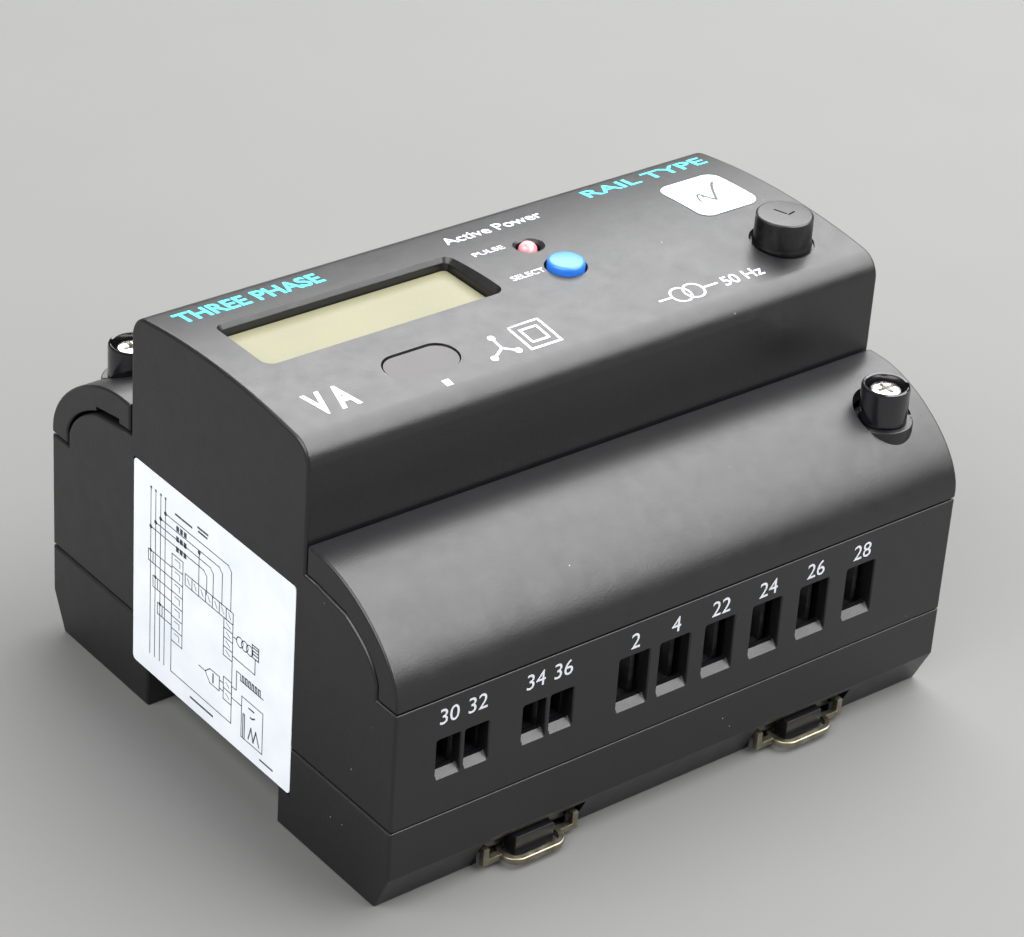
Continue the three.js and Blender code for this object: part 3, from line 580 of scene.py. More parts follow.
def liquid_crystal_panel(looks):
    """Reflective liquid crystal behind glass: pale green-grey, with a fine cell grain and a glassy coat."""
    color = tuple(looks.display_color)
    material, tree, place = start_material("liquid_crystal_panel")
    clouds = add(tree, "ShaderNodeTexNoise", {"Scale": per_size(18), "Detail": 1.0}, {"Vector": place})
    tone = add(tree, "ShaderNodeValToRGB", links={"Fac": clouds},
               stops=((0.25, scaled(color, 0.92)), (0.8, scaled(color, 1.06))))
    cells = add(tree, "ShaderNodeTexNoise", {"Scale": per_size(0.35), "Detail": 1.0}, {"Vector": place})
    fine = add(tree, "ShaderNodeValToRGB", links={"Fac": cells}, stops=((0.3, grey(0.95)), (0.7, grey(1))))
    mixed = add(tree, "ShaderNodeMix", {"Factor": 1.0}, {6: tone, 7: fine}, data_type="RGBA",
                blend_type="MULTIPLY")
    close_material(
        tree,
        {"Roughness": 0.45, "IOR": 1.5, "Specular IOR Level": 0.25, "Coat Weight": 0.1,
         "Coat Roughness": 0.2},
        {"Base Color": mixed.outputs[2]})
    return material


def printed_film():
    """White polyester label film: bright, slightly blue, with a fine ripple where it was rubbed down."""
    material, tree, place = start_material("printed_film")
    clouds = add(tree, "ShaderNodeTexNoise", {"Scale": per_size(9), "Detail": 3.0}, {"Vector": place})
    tone = add(tree, "ShaderNodeValToRGB", links={"Fac": clouds},
               stops=((0.3, srgb("e1e7ee")), (0.75, srgb("f1f5fa"))))
    ripple = add(tree, "ShaderNodeTexNoise", {"Scale": per_size(6)}, {"Vector": place})
    bump = add(tree, "ShaderNodeBump", {"Strength": 0.25, "Distance": 0.00012}, {"Height": ripple})
    close_material(tree, {"Roughness": 0.42, "IOR": 1.5}, {"Base Color": tone, "Normal": bump})
    return material


def printing_ink(name, color):
    """Pad-printed ink: flat, a little uneven in strength, with a faint orange-peel skin."""
    material, tree, place = start_material(name)
    mottle = add(tree, "ShaderNodeTexNoise", {"Scale": per_size(0.5), "Detail": 3.0}, {"Vector": place})
    tone = add(tree, "ShaderNodeValToRGB", links={"Fac": mottle},
               stops=((0.3, scaled(color, 0.86)), (0.7, scaled(color, 1.04))))
    skin_noise = add(tree, "ShaderNodeTexNoise", {"Scale": per_size(0.18)}, {"Vector": place})
    bump = add(tree, "ShaderNodeBump", {"Strength": 0.1, "Distance": 0.00002}, {"Height": skin_noise})
    close_material(tree, {"Roughness": 0.5, "IOR": 1.5}, {"Base Color": tone, "Normal": bump})
    return material


def nickel_plated_steel():
    """Turned steel with bright nickel: mirror-like, with fine circular tool marks and a few dull spots."""
    material, tree, place = start_material("nickel_plated_steel")
    spots = add(tree, "ShaderNodeTexNoise", {"Scale": per_size(0.7), "Detail": 4.0}, {"Vector": place})
    tone = add(tree, "ShaderNodeValToRGB", links={"Fac": spots},
               stops=((0.3, srgb("dedbd6")), (0.8, srgb("c9c5be"))))
    gloss = add(tree, "ShaderNodeValToRGB", links={"Fac": spots},
                stops=((0.3, grey(0.16)), (0.8, grey(0.34))))
    rings = add(tree, "ShaderNodeTexWave", {"Scale": per_size(0.25), "Distortion": 1.5}, {"Vector": place},
                wave_type="RINGS", rings_direction="Z")
    bump = add(tree, "ShaderNodeBump", {"Strength": 0.05, "Distance": 0.00003}, {"Height": rings})
    close_material(tree, {"Metallic": 1.0}, {"Base Color": tone, "Roughness": gloss, "Normal": bump})
    return material


def passivated_steel():
    """Zinc-plated spring steel, yellow passivated: a warm grey metal with light wear."""
    material, tree, place = start_material("passivated_steel")
    patches = add(tree, "ShaderNodeTexNoise", {"Scale": per_size(1.8), "Detail": 4.0}, {"Vector": place})
    tone = add(tree, "ShaderNodeValToRGB", links={"Fac": patches},
               stops=((0.3, srgb("847e6a")), (0.75, srgb("aaa594"))))
    gloss = add(tree, "ShaderNodeValToRGB", links={"Fac": patches},
                stops=((0.3, grey(0.34)), (0.8, grey(0.5))))
    drawn = add(tree, "ShaderNodeTexNoise", {"Scale": per_size(0.2)}, {"Vector": place})
    bump = add(tree, "ShaderNodeBump", {"Strength": 0.1, "Distance": 0.00003}, {"Height": drawn})
    close_material(tree, {"Metallic": 1.0}, {"Base Color": tone, "Roughness": gloss, "Normal": bump})
    return material


def galvanised_clamp_steel():
    """Pressed steel with dull zinc: a soft grey metal without clear reflections."""
    material, tree, place = start_material("galvanised_clamp_steel")
    flowers = add(tree, "ShaderNodeTexVoronoi", {"Scale": per_size(1.4)}, {"Vector": place})
    tone = add(tree, "ShaderNodeValToRGB", links={"Fac": flowers},
               stops=((0.1, srgb("6a6b6c")), (0.7, srgb("7c7d7e"))))
    gloss = add(tree, "ShaderNodeValToRGB", links={"Fac": flowers},
                stops=((0.1, grey(0.5)), (0.7, grey(0.62))))
    close_material(tree, {"Metallic": 1.0}, {"Base Color": tone, "Roughness": gloss})
    return material


def inner_moulding(name, color, roughness):
    """Moulded plastic of an inner piece: even colour with fine mottling and a light grain."""
    material, tree, place = start_material(name)
    mottle = add(tree, "ShaderNodeTexNoise", {"Scale": per_size(4), "Detail": 3.0}, {"Vector": place})
    tone = add(tree, "ShaderNodeValToRGB", links={"Fac": mottle},
               stops=((0.3, scaled(color, 0.85)), (0.75, scaled(color, 1.12))))
    grain = add(tree, "ShaderNodeTexNoise", {"Scale": per_size(0.3)}, {"Vector": place})
    bump = add(tree, "ShaderNodeBump", {"Strength": 0.15, "Distance": 0.00005}, {"Height": grain})
    close_material(tree, {"Roughness": roughness, "IOR": 1.54}, {"Base Color": tone, "Normal": bump})
    return material


def solder_masked_board():
    """Glass-fibre circuit board under green solder mask: glossy, with tracks showing through."""
    material, tree, place = start_material("solder_masked_board")
    tracks = add(
        tree, "ShaderNodeTexBrick",
        {"Scale": per_size(6), "Mortar Size": 0.03, "Color1": srgb("1c5737"), "Color2": srgb("20603d"),
         "Mortar": srgb("2f7d50")},
        {"Vector": place})
    bump = add(tree, "ShaderNodeBump", {"Strength": 0.2, "Distance": 0.00003},
               {"Height": tracks.outputs["Fac"]})
    close_material(tree, {"Roughness": 0.28, "IOR": 1.5, "Coat Weight": 0.4},
                   {"Base Color": tracks, "Normal": bump})
    return material


def drawn_aluminium():
    """Drawn aluminium can: bright metal with fine lines along the draw."""
    material, tree, place = start_material("drawn_aluminium")
    along = add(tree, "ShaderNodeMapping", {"Scale": (1, 1, 0.05)}, {"Vector": place})
    streaks = add(tree, "ShaderNodeTexNoise", {"Scale": per_size(0.25)}, {"Vector": along})
    tone = add(tree, "ShaderNodeValToRGB", links={"Fac": streaks},
               stops=((0.3, srgb("a3a7ac")), (0.7, srgb("b4b8bd"))))
    gloss = add(tree, "ShaderNodeValToRGB", links={"Fac": streaks},
                stops=((0.3, grey(0.26)), (0.7, grey(0.42))))
    close_material(tree, {"Metallic": 1.0}, {"Base Color": tone, "Roughness": gloss})
    return material


def varnished_core():
    """Stacked transformer steel under dark varnish: thin layers edge-on with a dull gloss."""
    material, tree, place = start_material("varnished_core")
    layers = add(tree, "ShaderNodeTexWave", {"Scale": per_size(1.6), "Distortion": 0.3}, {"Vector": place},
                 wave_type="BANDS", bands_direction="Y")
    tone = add(tree, "ShaderNodeValToRGB", links={"Fac": layers},
               stops=((0.2, srgb("3c3937")), (0.8, srgb("5a5552"))))
    close_material(tree, {"Roughness": 0.45, "IOR": 1.5, "Coat Weight": 0.3}, {"Base Color": tone})
    return material


def studio_card(looks):
    """Matt studio card: pale, with a very slight mottling."""
    color = tuple(looks.floor_color)
    material, tree, place = start_material("studio_card")
    mottle = add(tree, "ShaderNodeTexNoise", {"Scale": per_size(40), "Detail": 3.0}, {"Vector": place})
    tone = add(tree, "ShaderNodeValToRGB", links={"Fac": mottle},
               stops=((0.3, scaled(color, 0.98)), (0.7, color)))
    close_material(tree, {"Roughness": 0.9, "Specular IOR Level": 0.2}, {"Base Color": tone})
    return material


FINISHES = {}


def finish(name, looks=None):
    """Makes each material once, when the first piece asks for it."""
    makers = {
        "casing": lambda: moulded_polycarbonate(looks),
        "sleeve": glossy_polycarbonate,
        "knob": satin_knob_abs,
        "button": lambda: blue_abs(looks),
        "led": red_epoxy,
        "window": smoked_polycarbonate,
        "display": lambda: liquid_crystal_panel(looks),
        "film": printed_film,
        "white_ink": lambda: printing_ink("white_ink", srgb("cdced6")),
        "cyan_ink": lambda: printing_ink("cyan_ink", tuple(looks.title_color)),
        "black_ink": lambda: printing_ink("black_ink", srgb("3b4048")),
        "nickel": nickel_plated_steel,
        "loop": passivated_steel,
        "clamp": galvanised_clamp_steel,
        "terminal": lambda: inner_moulding("terminal_polyamide", srgb("1b1c1f"), 0.5),
        "carrier": lambda: inner_moulding("pale_carrier_abs", srgb("d8d5c6"), 0.5),
        "relay": lambda: inner_moulding("relay_case_abs", srgb("2f5f96"), 0.35),
        "board": solder_masked_board,
        "can": drawn_aluminium,
        "core": varnished_core,
        "floor": lambda: studio_card(looks),
    }
    if name not in FINISHES:
        FINISHES[name] = makers[name]()
    return FINISHES[name]


# ---------------------------------------------------------------- casings


def upper_outline():
    """The upper casing from the end, in (y, z): long walls, shoulders and front block."""
    side = [(HALF_DEPTH, PART_Z + PART_GAP, 0.22), (HALF_DEPTH, SEAM_Z - 0.2, 0.22)]
    side += shoulder(0)
    side.append((BLOCK_HALF, 46.2))
    top = block_top(0)
    mirrored = [(-corner[0],) + corner[1:] for corner in reversed(side)]
    return side + top + mirrored


def lower_outline():
    side = [
        (HALF_DEPTH, PART_Z - PART_GAP, 0.22), (HALF_DEPTH, CHAMFER_Z, 0.6), (FOOT_HALF, 0, 0.5),
        (RAIL_HALF, 0, 0.3), (RAIL_HALF, RAIL_SEAT_Z + SEAT_RAISE), (SEAT_HALF, RAIL_SEAT_Z + SEAT_RAISE),
        (SEAT_HALF, RAIL_SEAT_Z),
    ]
    mirrored = [(-corner[0],) + corner[1:] for corner in reversed(side)]
    return side + mirrored


def wire_mouth(x, width, z0, z1):
    """Cutter for one wire opening in the -Y wall, with a small chamfer and a sill that slopes inwards."""
    def shape(grow, sill):
        low = z0 + sill - grow
        high = z1 + grow
        return rounded(x, (low + high) / 2, width + 2 * grow, high - low, 0.3 + grow, 3)

    sections = [
        (shape(0.35, 0), -HALF_DEPTH - 0.15), (shape(0.2, 0), -HALF_DEPTH),
        (shape(0, 0), -HALF_DEPTH + 0.2), (shape(0, SILL), -HALF_DEPTH + 0.2 + SILL),
        (shape(0, SILL), -HALF_DEPTH + WALL + 1)]
    return skin(sections, "Y")


def wall_openings():
    """Wire openings in both long walls, apart from each other so that one cut makes them all."""
    near = [wire_mouth(middle(f"screw_{w}").x, *MAINS_MOUTH) for w in MAINS_WAYS]
    near += [wire_mouth(middle(f"screw_{w}").x, *SIGNAL_MOUTH) for w in NEAR_WAYS]
    far = [wire_mouth(-middle(f"screw_{w}").x, *SIGNAL_MOUTH) for w in DATA_WAYS]
    far += [wire_mouth(-middle(f"screw_{w}").x, *MAINS_MOUTH) for w in CURRENT_WAYS]
    far_side = together(*far)
    far_side.transform(Matrix.Rotation(math.pi, 4, "Z"))
    return together(far_side, *near)


def driver_holes():
    """Screwdriver holes in the two terminal decks. Those of the mains cages are stepped for the heads."""
    holes = []
    for way in MAINS_WAYS + NEAR_WAYS + DATA_WAYS + CURRENT_WAYS:
        low, high = node_box(f"screw_{way}")
        spot = (low + high) / 2
        if way in MAINS_WAYS:
            head = SCREW_HEAD_HOLE
            shaft = [(SCREW_SHAFT_HOLE, DECK_Z - 3), (SCREW_SHAFT_HOLE, DECK_Z - 1.2), (head, DECK_Z - 1.2)]
        else:
            head = (high.x - low.x) / 2 + 0.3
            shaft = [(head, DECK_Z - 3)]
        mouth = [(head, DECK_Z - 0.2), (head + 0.2, DECK_Z), (head + 0.2, DECK_Z + 1), (0, DECK_Z + 1)]
        holes.append(turned([(0, DECK_Z - 3)] + shaft + mouth, spot.x, spot.y))
    return together(*holes)


def display_mouth():
    """Cutter for the display window: straight walls and a sloping mouth."""
    glass = middle("lcd_glass")

    def shape(grow):
        return rounded(glass.x, glass.y, DISPLAY_WIDTH + 2 * grow, DISPLAY_HEIGHT + 2 * grow, 0.9 + grow, 5)

    return skin([
        (shape(0), 60), (shape(0), 67.3), (shape(0.12), 67.52), (shape(0.8), 68.5), (shape(1.25), 69.2)])


def capsule(grow, steps=12):
    spot = middle("infrared_window")
    length = INFRARED_LENGTH + 2 * grow
    width = INFRARED_WIDTH + 2 * grow
    return rounded(spot.x, spot.y, length, width, width / 2 - 0.01, steps)


def front_holes():
    """Cutters for the window, light, button, knob and infrared window, all apart from each other."""
    led, button, knob = middle("power_led"), middle("scroll_button"), middle("lock_knob")
    knob_hole = node_box("lock_knob")[1].x - knob.x + KNOB_ROOM
    return together(
        display_mouth(),
        turned([
            (0, 60), (LIGHT_HOLE, 60), (LIGHT_HOLE, 68.0), (LIGHT_HOLE + 0.15, 68.15),
            (LIGHT_HOLE + 0.7, 68.55), (LIGHT_HOLE + 0.95, 69.2), (0, 69.2)], led.x, led.y, 40),
        turned([
            (0, 60), (BUTTON_HOLE, 60), (BUTTON_HOLE, 68.3), (BUTTON_HOLE + 0.1, 68.5),
            (BUTTON_HOLE + 0.4, 69.2), (0, 69.2)], button.x, button.y),
        turned([
            (0, 60), (KNOB_SHAFT_HOLE, 60), (KNOB_SHAFT_HOLE, 67.5), (knob_hole, 67.5), (knob_hole, 68.0),
            (knob_hole + 0.3, 69.2), (0, 69.2)], knob.x, knob.y),
        skin([(capsule(0.1), 60), (capsule(0.1), 67.6), (capsule(0.25), 67.9), (capsule(0.5), 69.2)]),
    )


def build_upper_casing(looks):
    in_x, in_y = HALF_LENGTH - WALL, HALF_DEPTH - WALL
    shell = prism(upper_outline(), -HALF_LENGTH, HALF_LENGTH, "X", soft=looks.edge_radius / MM)
    deck = block((-in_x, in_x), (BLOCK_HALF, in_y), (DECK_Z, 60))
    decks = together(half_turned(deck), deck)
    hollow = block((-in_x, in_x), (-in_y, in_y), (PART_Z - 1, DECK_Z - WALL))
    hollow_top = [(BLOCK_HALF - WALL - 0.1, 25)] + block_top(WALL + 0.1, 16)
    hollow_top.append((-BLOCK_HALF + WALL + 0.1, 25))
    upper_hollow = prism(hollow_top, -in_x, in_x, "X")
    glass = middle("lcd_glass")
    skirt = prism(rounded(glass.x, glass.y, DISPLAY_WIDTH + 3, DISPLAY_HEIGHT + 3, 1.5), 65.2, 67)
    post = middle("seal_screw_near")
    boss = turned([(0, DECK_Z - 1), (3.6, DECK_Z - 1), (3.6, 43), (3.4, 43.2), (0, 43.2)], post.x, post.y)
    boss_bore = rod(1.8, post.x, post.y, 33.5, 50)
    pocket = block((-HALF_LENGTH - 1, -HALF_LENGTH + 0.2), *END_POCKET)
    ribs = []
    places = [middle(f"screw_{w}").x for w in MAINS_WAYS]
    edges = [places[0] - 3.9] + [(a + b) / 2 for a, b in zip(places, places[1:])] + [places[-1] + 3.9]
    for x in edges:
        ribs.append(block((x - 0.45, x + 0.45), (-HALF_DEPTH + 1, -34), (18.1, DECK_Z - 1)))
    steps = [
        ("cut", decks), ("cut", hollow), ("cut", upper_hollow), ("join", skirt),
        ("join", together(half_turned(boss), boss)), ("cut", together(half_turned(boss_bore), boss_bore)),
        ("join", together(*ribs)), ("cut", front_holes()), ("cut", wall_openings()),
        ("cut", driver_holes()), ("cut", pocket),
    ]
    make_piece("casing_upper", combine(shell, steps), finish("casing", looks), "housing",
               ["upper_housing"])


def build_lower_casing(looks):
    in_x, in_y = HALF_LENGTH - WALL, HALF_DEPTH - WALL
    shell = prism(lower_outline(), -HALF_LENGTH, HALF_LENGTH, "X", soft=looks.edge_radius / MM)
    tray = block((-in_x, in_x), (-in_y, in_y), (FLOOR_Z, 20))
    wing = block((-in_x, in_x), (RAIL_HALF + WALL, FOOT_HALF - WALL), (WALL, FLOOR_Z + 1))
    tongue = block((-in_x + 0.2, in_x - 0.2), (-in_y + 0.2, in_y - 0.2), (FLOOR_Z - 0.5, PART_Z + WALL))
    tongue_hollow = block((-in_x + 1.2, in_x - 1.2), (-in_y + 1.2, in_y - 1.2), (0, 20))
    rim = combine(tongue, [("cut", tongue_hollow)])
    hooks, tracks = [], []
    hook = [(18, 2.2), (18, 4.9), (15.9, 4.9), (15.9, 2.9), (16.6, 2.2)]
    for x in (-CLIP_X, CLIP_X):
        hooks.append(prism(hook, x - 10, x + 10, "X", soft=0.2))
        narrow = (x - SLIDER_HALF - 0.4, x + SLIDER_HALF + 0.4)
        wide = (x - FLANGE_HALF - 0.3, x + FLANGE_HALF + 0.3)
        tracks.append(block(narrow, (-46, -RAIL_HALF + 1), (-1, 5)))
        tracks.append(block(wide, (-46, -RAIL_HALF + 1), (FLANGE_LOW - 0.3, FLANGE_HIGH + 0.3)))
        tracks.append(block(wide, (-46, -FOOT_HALF), (-1, 5.6)))
    screws = [middle("casing_screw_near"), middle("casing_screw_far")]
    pads = together(*[rod(4.2, s.x, s.y, 0.6 if s.y > 0 else FLOOR_Z - 1, 10) for s in screws])
    bore = [(0, -1), (3.6, -1), (3.6, 0), (3.3, 0.3), (3.3, 3.8), (1.75, 3.8), (1.75, 20), (0, 20)]
    bores = together(*[turned(bore, s.x, s.y) for s in screws])
    # Shallow pockets in the rail channel's roof, where a moulder cores out thick plastic.
    pockets = together(*[
        block((-HALF_LENGTH + 6 + i * 24.2, -HALF_LENGTH + 26.5 + i * 24.2), (-11, 11), (6, 7.3))
        for i in range(4)])
    pocket = block((-HALF_LENGTH - 1, -HALF_LENGTH + 0.2), *END_POCKET)
    steps = [("cut", tray), ("cut", wing), ("join", rim), ("join", pads), ("join", together(*hooks))]
    steps += [("cut", track) for track in tracks]
    steps += [("cut", bores), ("cut", pockets), ("cut", pocket)]
    make_piece("casing_lower", combine(shell, steps), finish("casing", looks), "housing",
               ["base_shell"])


def build_cover(side, looks):
    """One terminal cover. It is drawn on the +Y side and turned half round for the other."""
    inner = BLOCK_HALF + 0.4
    outside = [(inner, STEP_Z, 0.3)] + cover_curve(0)
    outside.append((HALF_DEPTH, SEAM_Z + 0.1, 0.22))
    outside += shoulder(COVER_GAP)
    outside.append((inner, 46.2 + COVER_GAP))
    inside = [(inner + 1.8, 30), (inner + 1.8, STEP_Z - WALL)] + cover_curve(WALL)
    inside.append((HALF_DEPTH - WALL, 30))
    in_x = HALF_LENGTH - WALL - 0.2
    slot = prism([(25.7, 46), (32.2, 45), (32.2, 46.3), (25.7, 47.4)], -HALF_LENGTH - 1, -in_x + 0.5, "X")
    post = middle("seal_screw_far")
    boss = turned([(0, 43.6), (4.8, 43.6), (4.8, POST_SEAT_Z - 0.25), (4.7, POST_SEAT_Z - 0.07),
                   (4.5, POST_SEAT_Z), (0, POST_SEAT_Z)], post.x, post.y, 64)
    spot_face = rod(4.8, post.x, post.y, POST_SEAT_Z, 60, 64)
    bore = rod(3, post.x, post.y, 40, 60)
    shell = prism(outside, -HALF_LENGTH, HALF_LENGTH, "X", soft=0.8 * looks.edge_radius / MM)
    solid = combine(shell, [
        ("cut", prism(inside, -in_x, in_x, "X")), ("cut", slot), ("join", boss), ("cut", spot_face),
        ("cut", bore)])
    if side == "near":
        solid.transform(Matrix.Rotation(math.pi, 4, "Z"))
    make_piece(f"cover_{side}_shell", solid, finish("casing", looks), f"cover_{side}",
               [f"terminal_cover_{side}"])


# ---------------------------------------------------------------- sealing screws


def cross_cut(reach, width, z0, z1, turn=0.0):
    """The two arms of a cross recess about the origin's axis, with sloping ends."""
    v = width / 2
    arms = []
    for angle in (turn, turn + 90):
        ends = [([(-u, -v), (u, -v), (u, v), (-u, v)], z) for u, z in ((reach * 0.22, z0), (reach / 2, z1))]
        arm = skin(ends)
        arm.transform(Matrix.Rotation(math.radians(angle), 4, "Z"))
        arms.append(arm)
    return arms


def build_sealing_screw(side):
    low, high = node_box(f"seal_sleeve_{side}")
    spot = (low + high) / 2
    top = high.z
    radius = (high.x - low.x) / 2
    seat = POST_SEAT_Z + 0.1
    sleeve = turned([
        (1.9, 43.8), (2.6, 43.8), (2.6, seat), (radius - 0.15, seat), (radius, seat + 0.15),
        (radius, top - 0.45), (radius - 0.12, top - 0.15), (radius - 0.35, top), (3.35, top),
        (3.18, top - 0.1), (3.1, top - 0.3), (3.1, 50.1), (1.9, 50.1), (1.9, 43.8)], sides=64)
    bmesh.ops.remove_doubles(sleeve, verts=sleeve.verts, dist=0.001)
    wire_hole = prism(circle(0, 0, 1.3, 24), -2.5, 2.5, "Y")
    wire_hole.transform(Matrix.Translation((2.4, -1.9, 49.3)) @ Matrix.Rotation(0.9, 4, "Z"))
    notch = rod(0.8, -2.5, 1.9, 51, 55, 24)
    sleeve = combine(sleeve, [("cut", wire_hole), ("cut", notch)])
    screw = turned([
        (0, 34.6), (1.5, 35.4), (1.5, 50.3), (2.5, 50.3), (2.65, 50.45), (2.65, 51.9), (2.55, 52.25),
        (2.25, 52.55), (1.6, 52.7), (0, 52.7)], sides=40)
    screw = combine(screw, [("cut", arm) for arm in cross_cut(3.6, 0.8, 51.4, 53)])
    if side == "near":
        sleeve.transform(Matrix.Rotation(math.pi, 4, "Z"))
        screw.transform(Matrix.Rotation(math.pi, 4, "Z"))
    make_piece(
        f"sleeve_{side}", shifted(sleeve, spot.x, spot.y), finish("sleeve"), f"cover_{side}",
        [f"seal_sleeve_{side}"])
    make_piece(
        f"sealing_screw_{side}", shifted(screw, spot.x, spot.y), finish("nickel"), f"seal_{side}",
        [f"seal_screw_{side}"])


# ---------------------------------------------------------------- front panel


def build_knob():
    low, high = node_box("lock_knob")
    spot = (low + high) / 2
    radius, top = (high.x - low.x) / 2, high.z
    seat = 67.7
    knob = turned([
        (0, low.z), (2, low.z), (2, seat), (radius - 0.05, seat), (radius, seat + 0.1),
        (radius, seat + 0.6), (radius - 0.12, seat + 0.8), (radius - 0.15, top - 0.55),
        (radius - 0.2, top - 0.25), (radius - 0.38, top - 0.07), (radius - 0.6, top), (0, top)], sides=72)
    marks = []
    for length, angle, x, y in ((2.4, -1.25, -0.3, 0.75), (1.7, 0.2, 0.9, -0.5)):
        mark = prism(rounded(0, 0, length, 0.32, 0.14, 4), top - 0.28, top + 1)
        mark.transform(Matrix.Translation((x, y, 0)) @ Matrix.Rotation(angle, 4, "Z"))
        marks.append(("cut", mark))
    knob = shifted(combine(knob, marks), spot.x, spot.y)
    make_piece("knob_turned", knob, finish("knob"), "knob", ["lock_knob"])


def build_button(looks):
    low, high = node_box("scroll_button")
    spot = (low + high) / 2
    top = high.z
    profile = [(0, low.z), (1.7, low.z), (1.7, 64.4), (3.6, 64.4), (3.6, 65.5), (2.95, 65.5), (2.93, 68.9)]
    for angle in range(0, 91, 15):
        a = math.radians(angle)
        profile.append((2.33 + 0.58 * math.cos(a), top - 0.66 + 0.56 * math.sin(a)))
    profile += [(1.6, top - 0.04), (0.8, top - 0.01), (0, top)]
    make_piece(
        "button_cap", turned(profile, spot.x, spot.y, 56), finish("button", looks), "button",
        ["scroll_button"])


def build_light():
    low, high = node_box("power_led")
    spot = (low + high) / 2
    radius = 1.5
    profile = [(0, 62), (1.85, 62), (1.9, 62.1), (1.9, 63), (radius, 63)]
    profile += arc(0, high.z - radius, radius, 0, 90, 10)
    profile[-1] = (0, high.z)
    lens = turned(profile, sides=40)
    leg = block((-1.5, -1.1), (-0.2, 0.2), (low.z, 62.5))
    lens = combine(lens, [("join", together(half_turned(leg), leg))])
    make_piece(
        "light_lens", shifted(lens, spot.x, spot.y), finish("led"), "housing", ["power_led"])


def crown_sheet(points, low, high, rows=24):
    """A thin plate cut from the crowned top between two heights above it."""
    reach = BLOCK_HALF - BLOCK_FILLET

    def arch(lift):
        places = [reach - 2 * reach * i / rows for i in range(rows + 1)]
        return [(reach, 50)] + [(y, crown_height(y) + lift) for y in places] + [(-reach, 50)]

    upper = prism(arch(high), -60, 60, "X")
    lower = prism(arch(low), -61, 61, "X")
    return combine(prism(points, TOP_Z - 6, TOP_Z + 2), [("keep", upper), ("cut", lower)])


def build_infrared_window():
    window = crown_sheet(capsule(0), -2.2, -0.22)
    make_piece("infrared_pane", window, finish("window"), "housing", ["infrared_window"])


def build_display(looks):
    low, high = node_box("lcd_glass")
    spot = (low + high) / 2
    width, height = high.x - low.x, high.y - low.y
    plate = prism(rounded(spot.x, spot.y, width, height, 0.3, 3), low.z, high.z, soft=0.12)
    outline = rounded(
        spot.x, spot.y, DISPLAY_WIDTH - 2 * PANE_CLEARANCE, DISPLAY_HEIGHT - 2 * PANE_CLEARANCE, 0.8, 5)
    pane = prism(outline, low.z + 0.2, high.z + PANE_RISE, soft=0.15)
    glass = combine(plate, [("join", pane)])
    make_piece("display_glass", glass, finish("display", looks), "housing", ["lcd_glass"])
    finish_node("lcd_frame", finish("carrier"))


# ---------------------------------------------------------------- labels and printing
# Printing is drawn flat in (u, v) with a small thickness w and then laid on its surface.


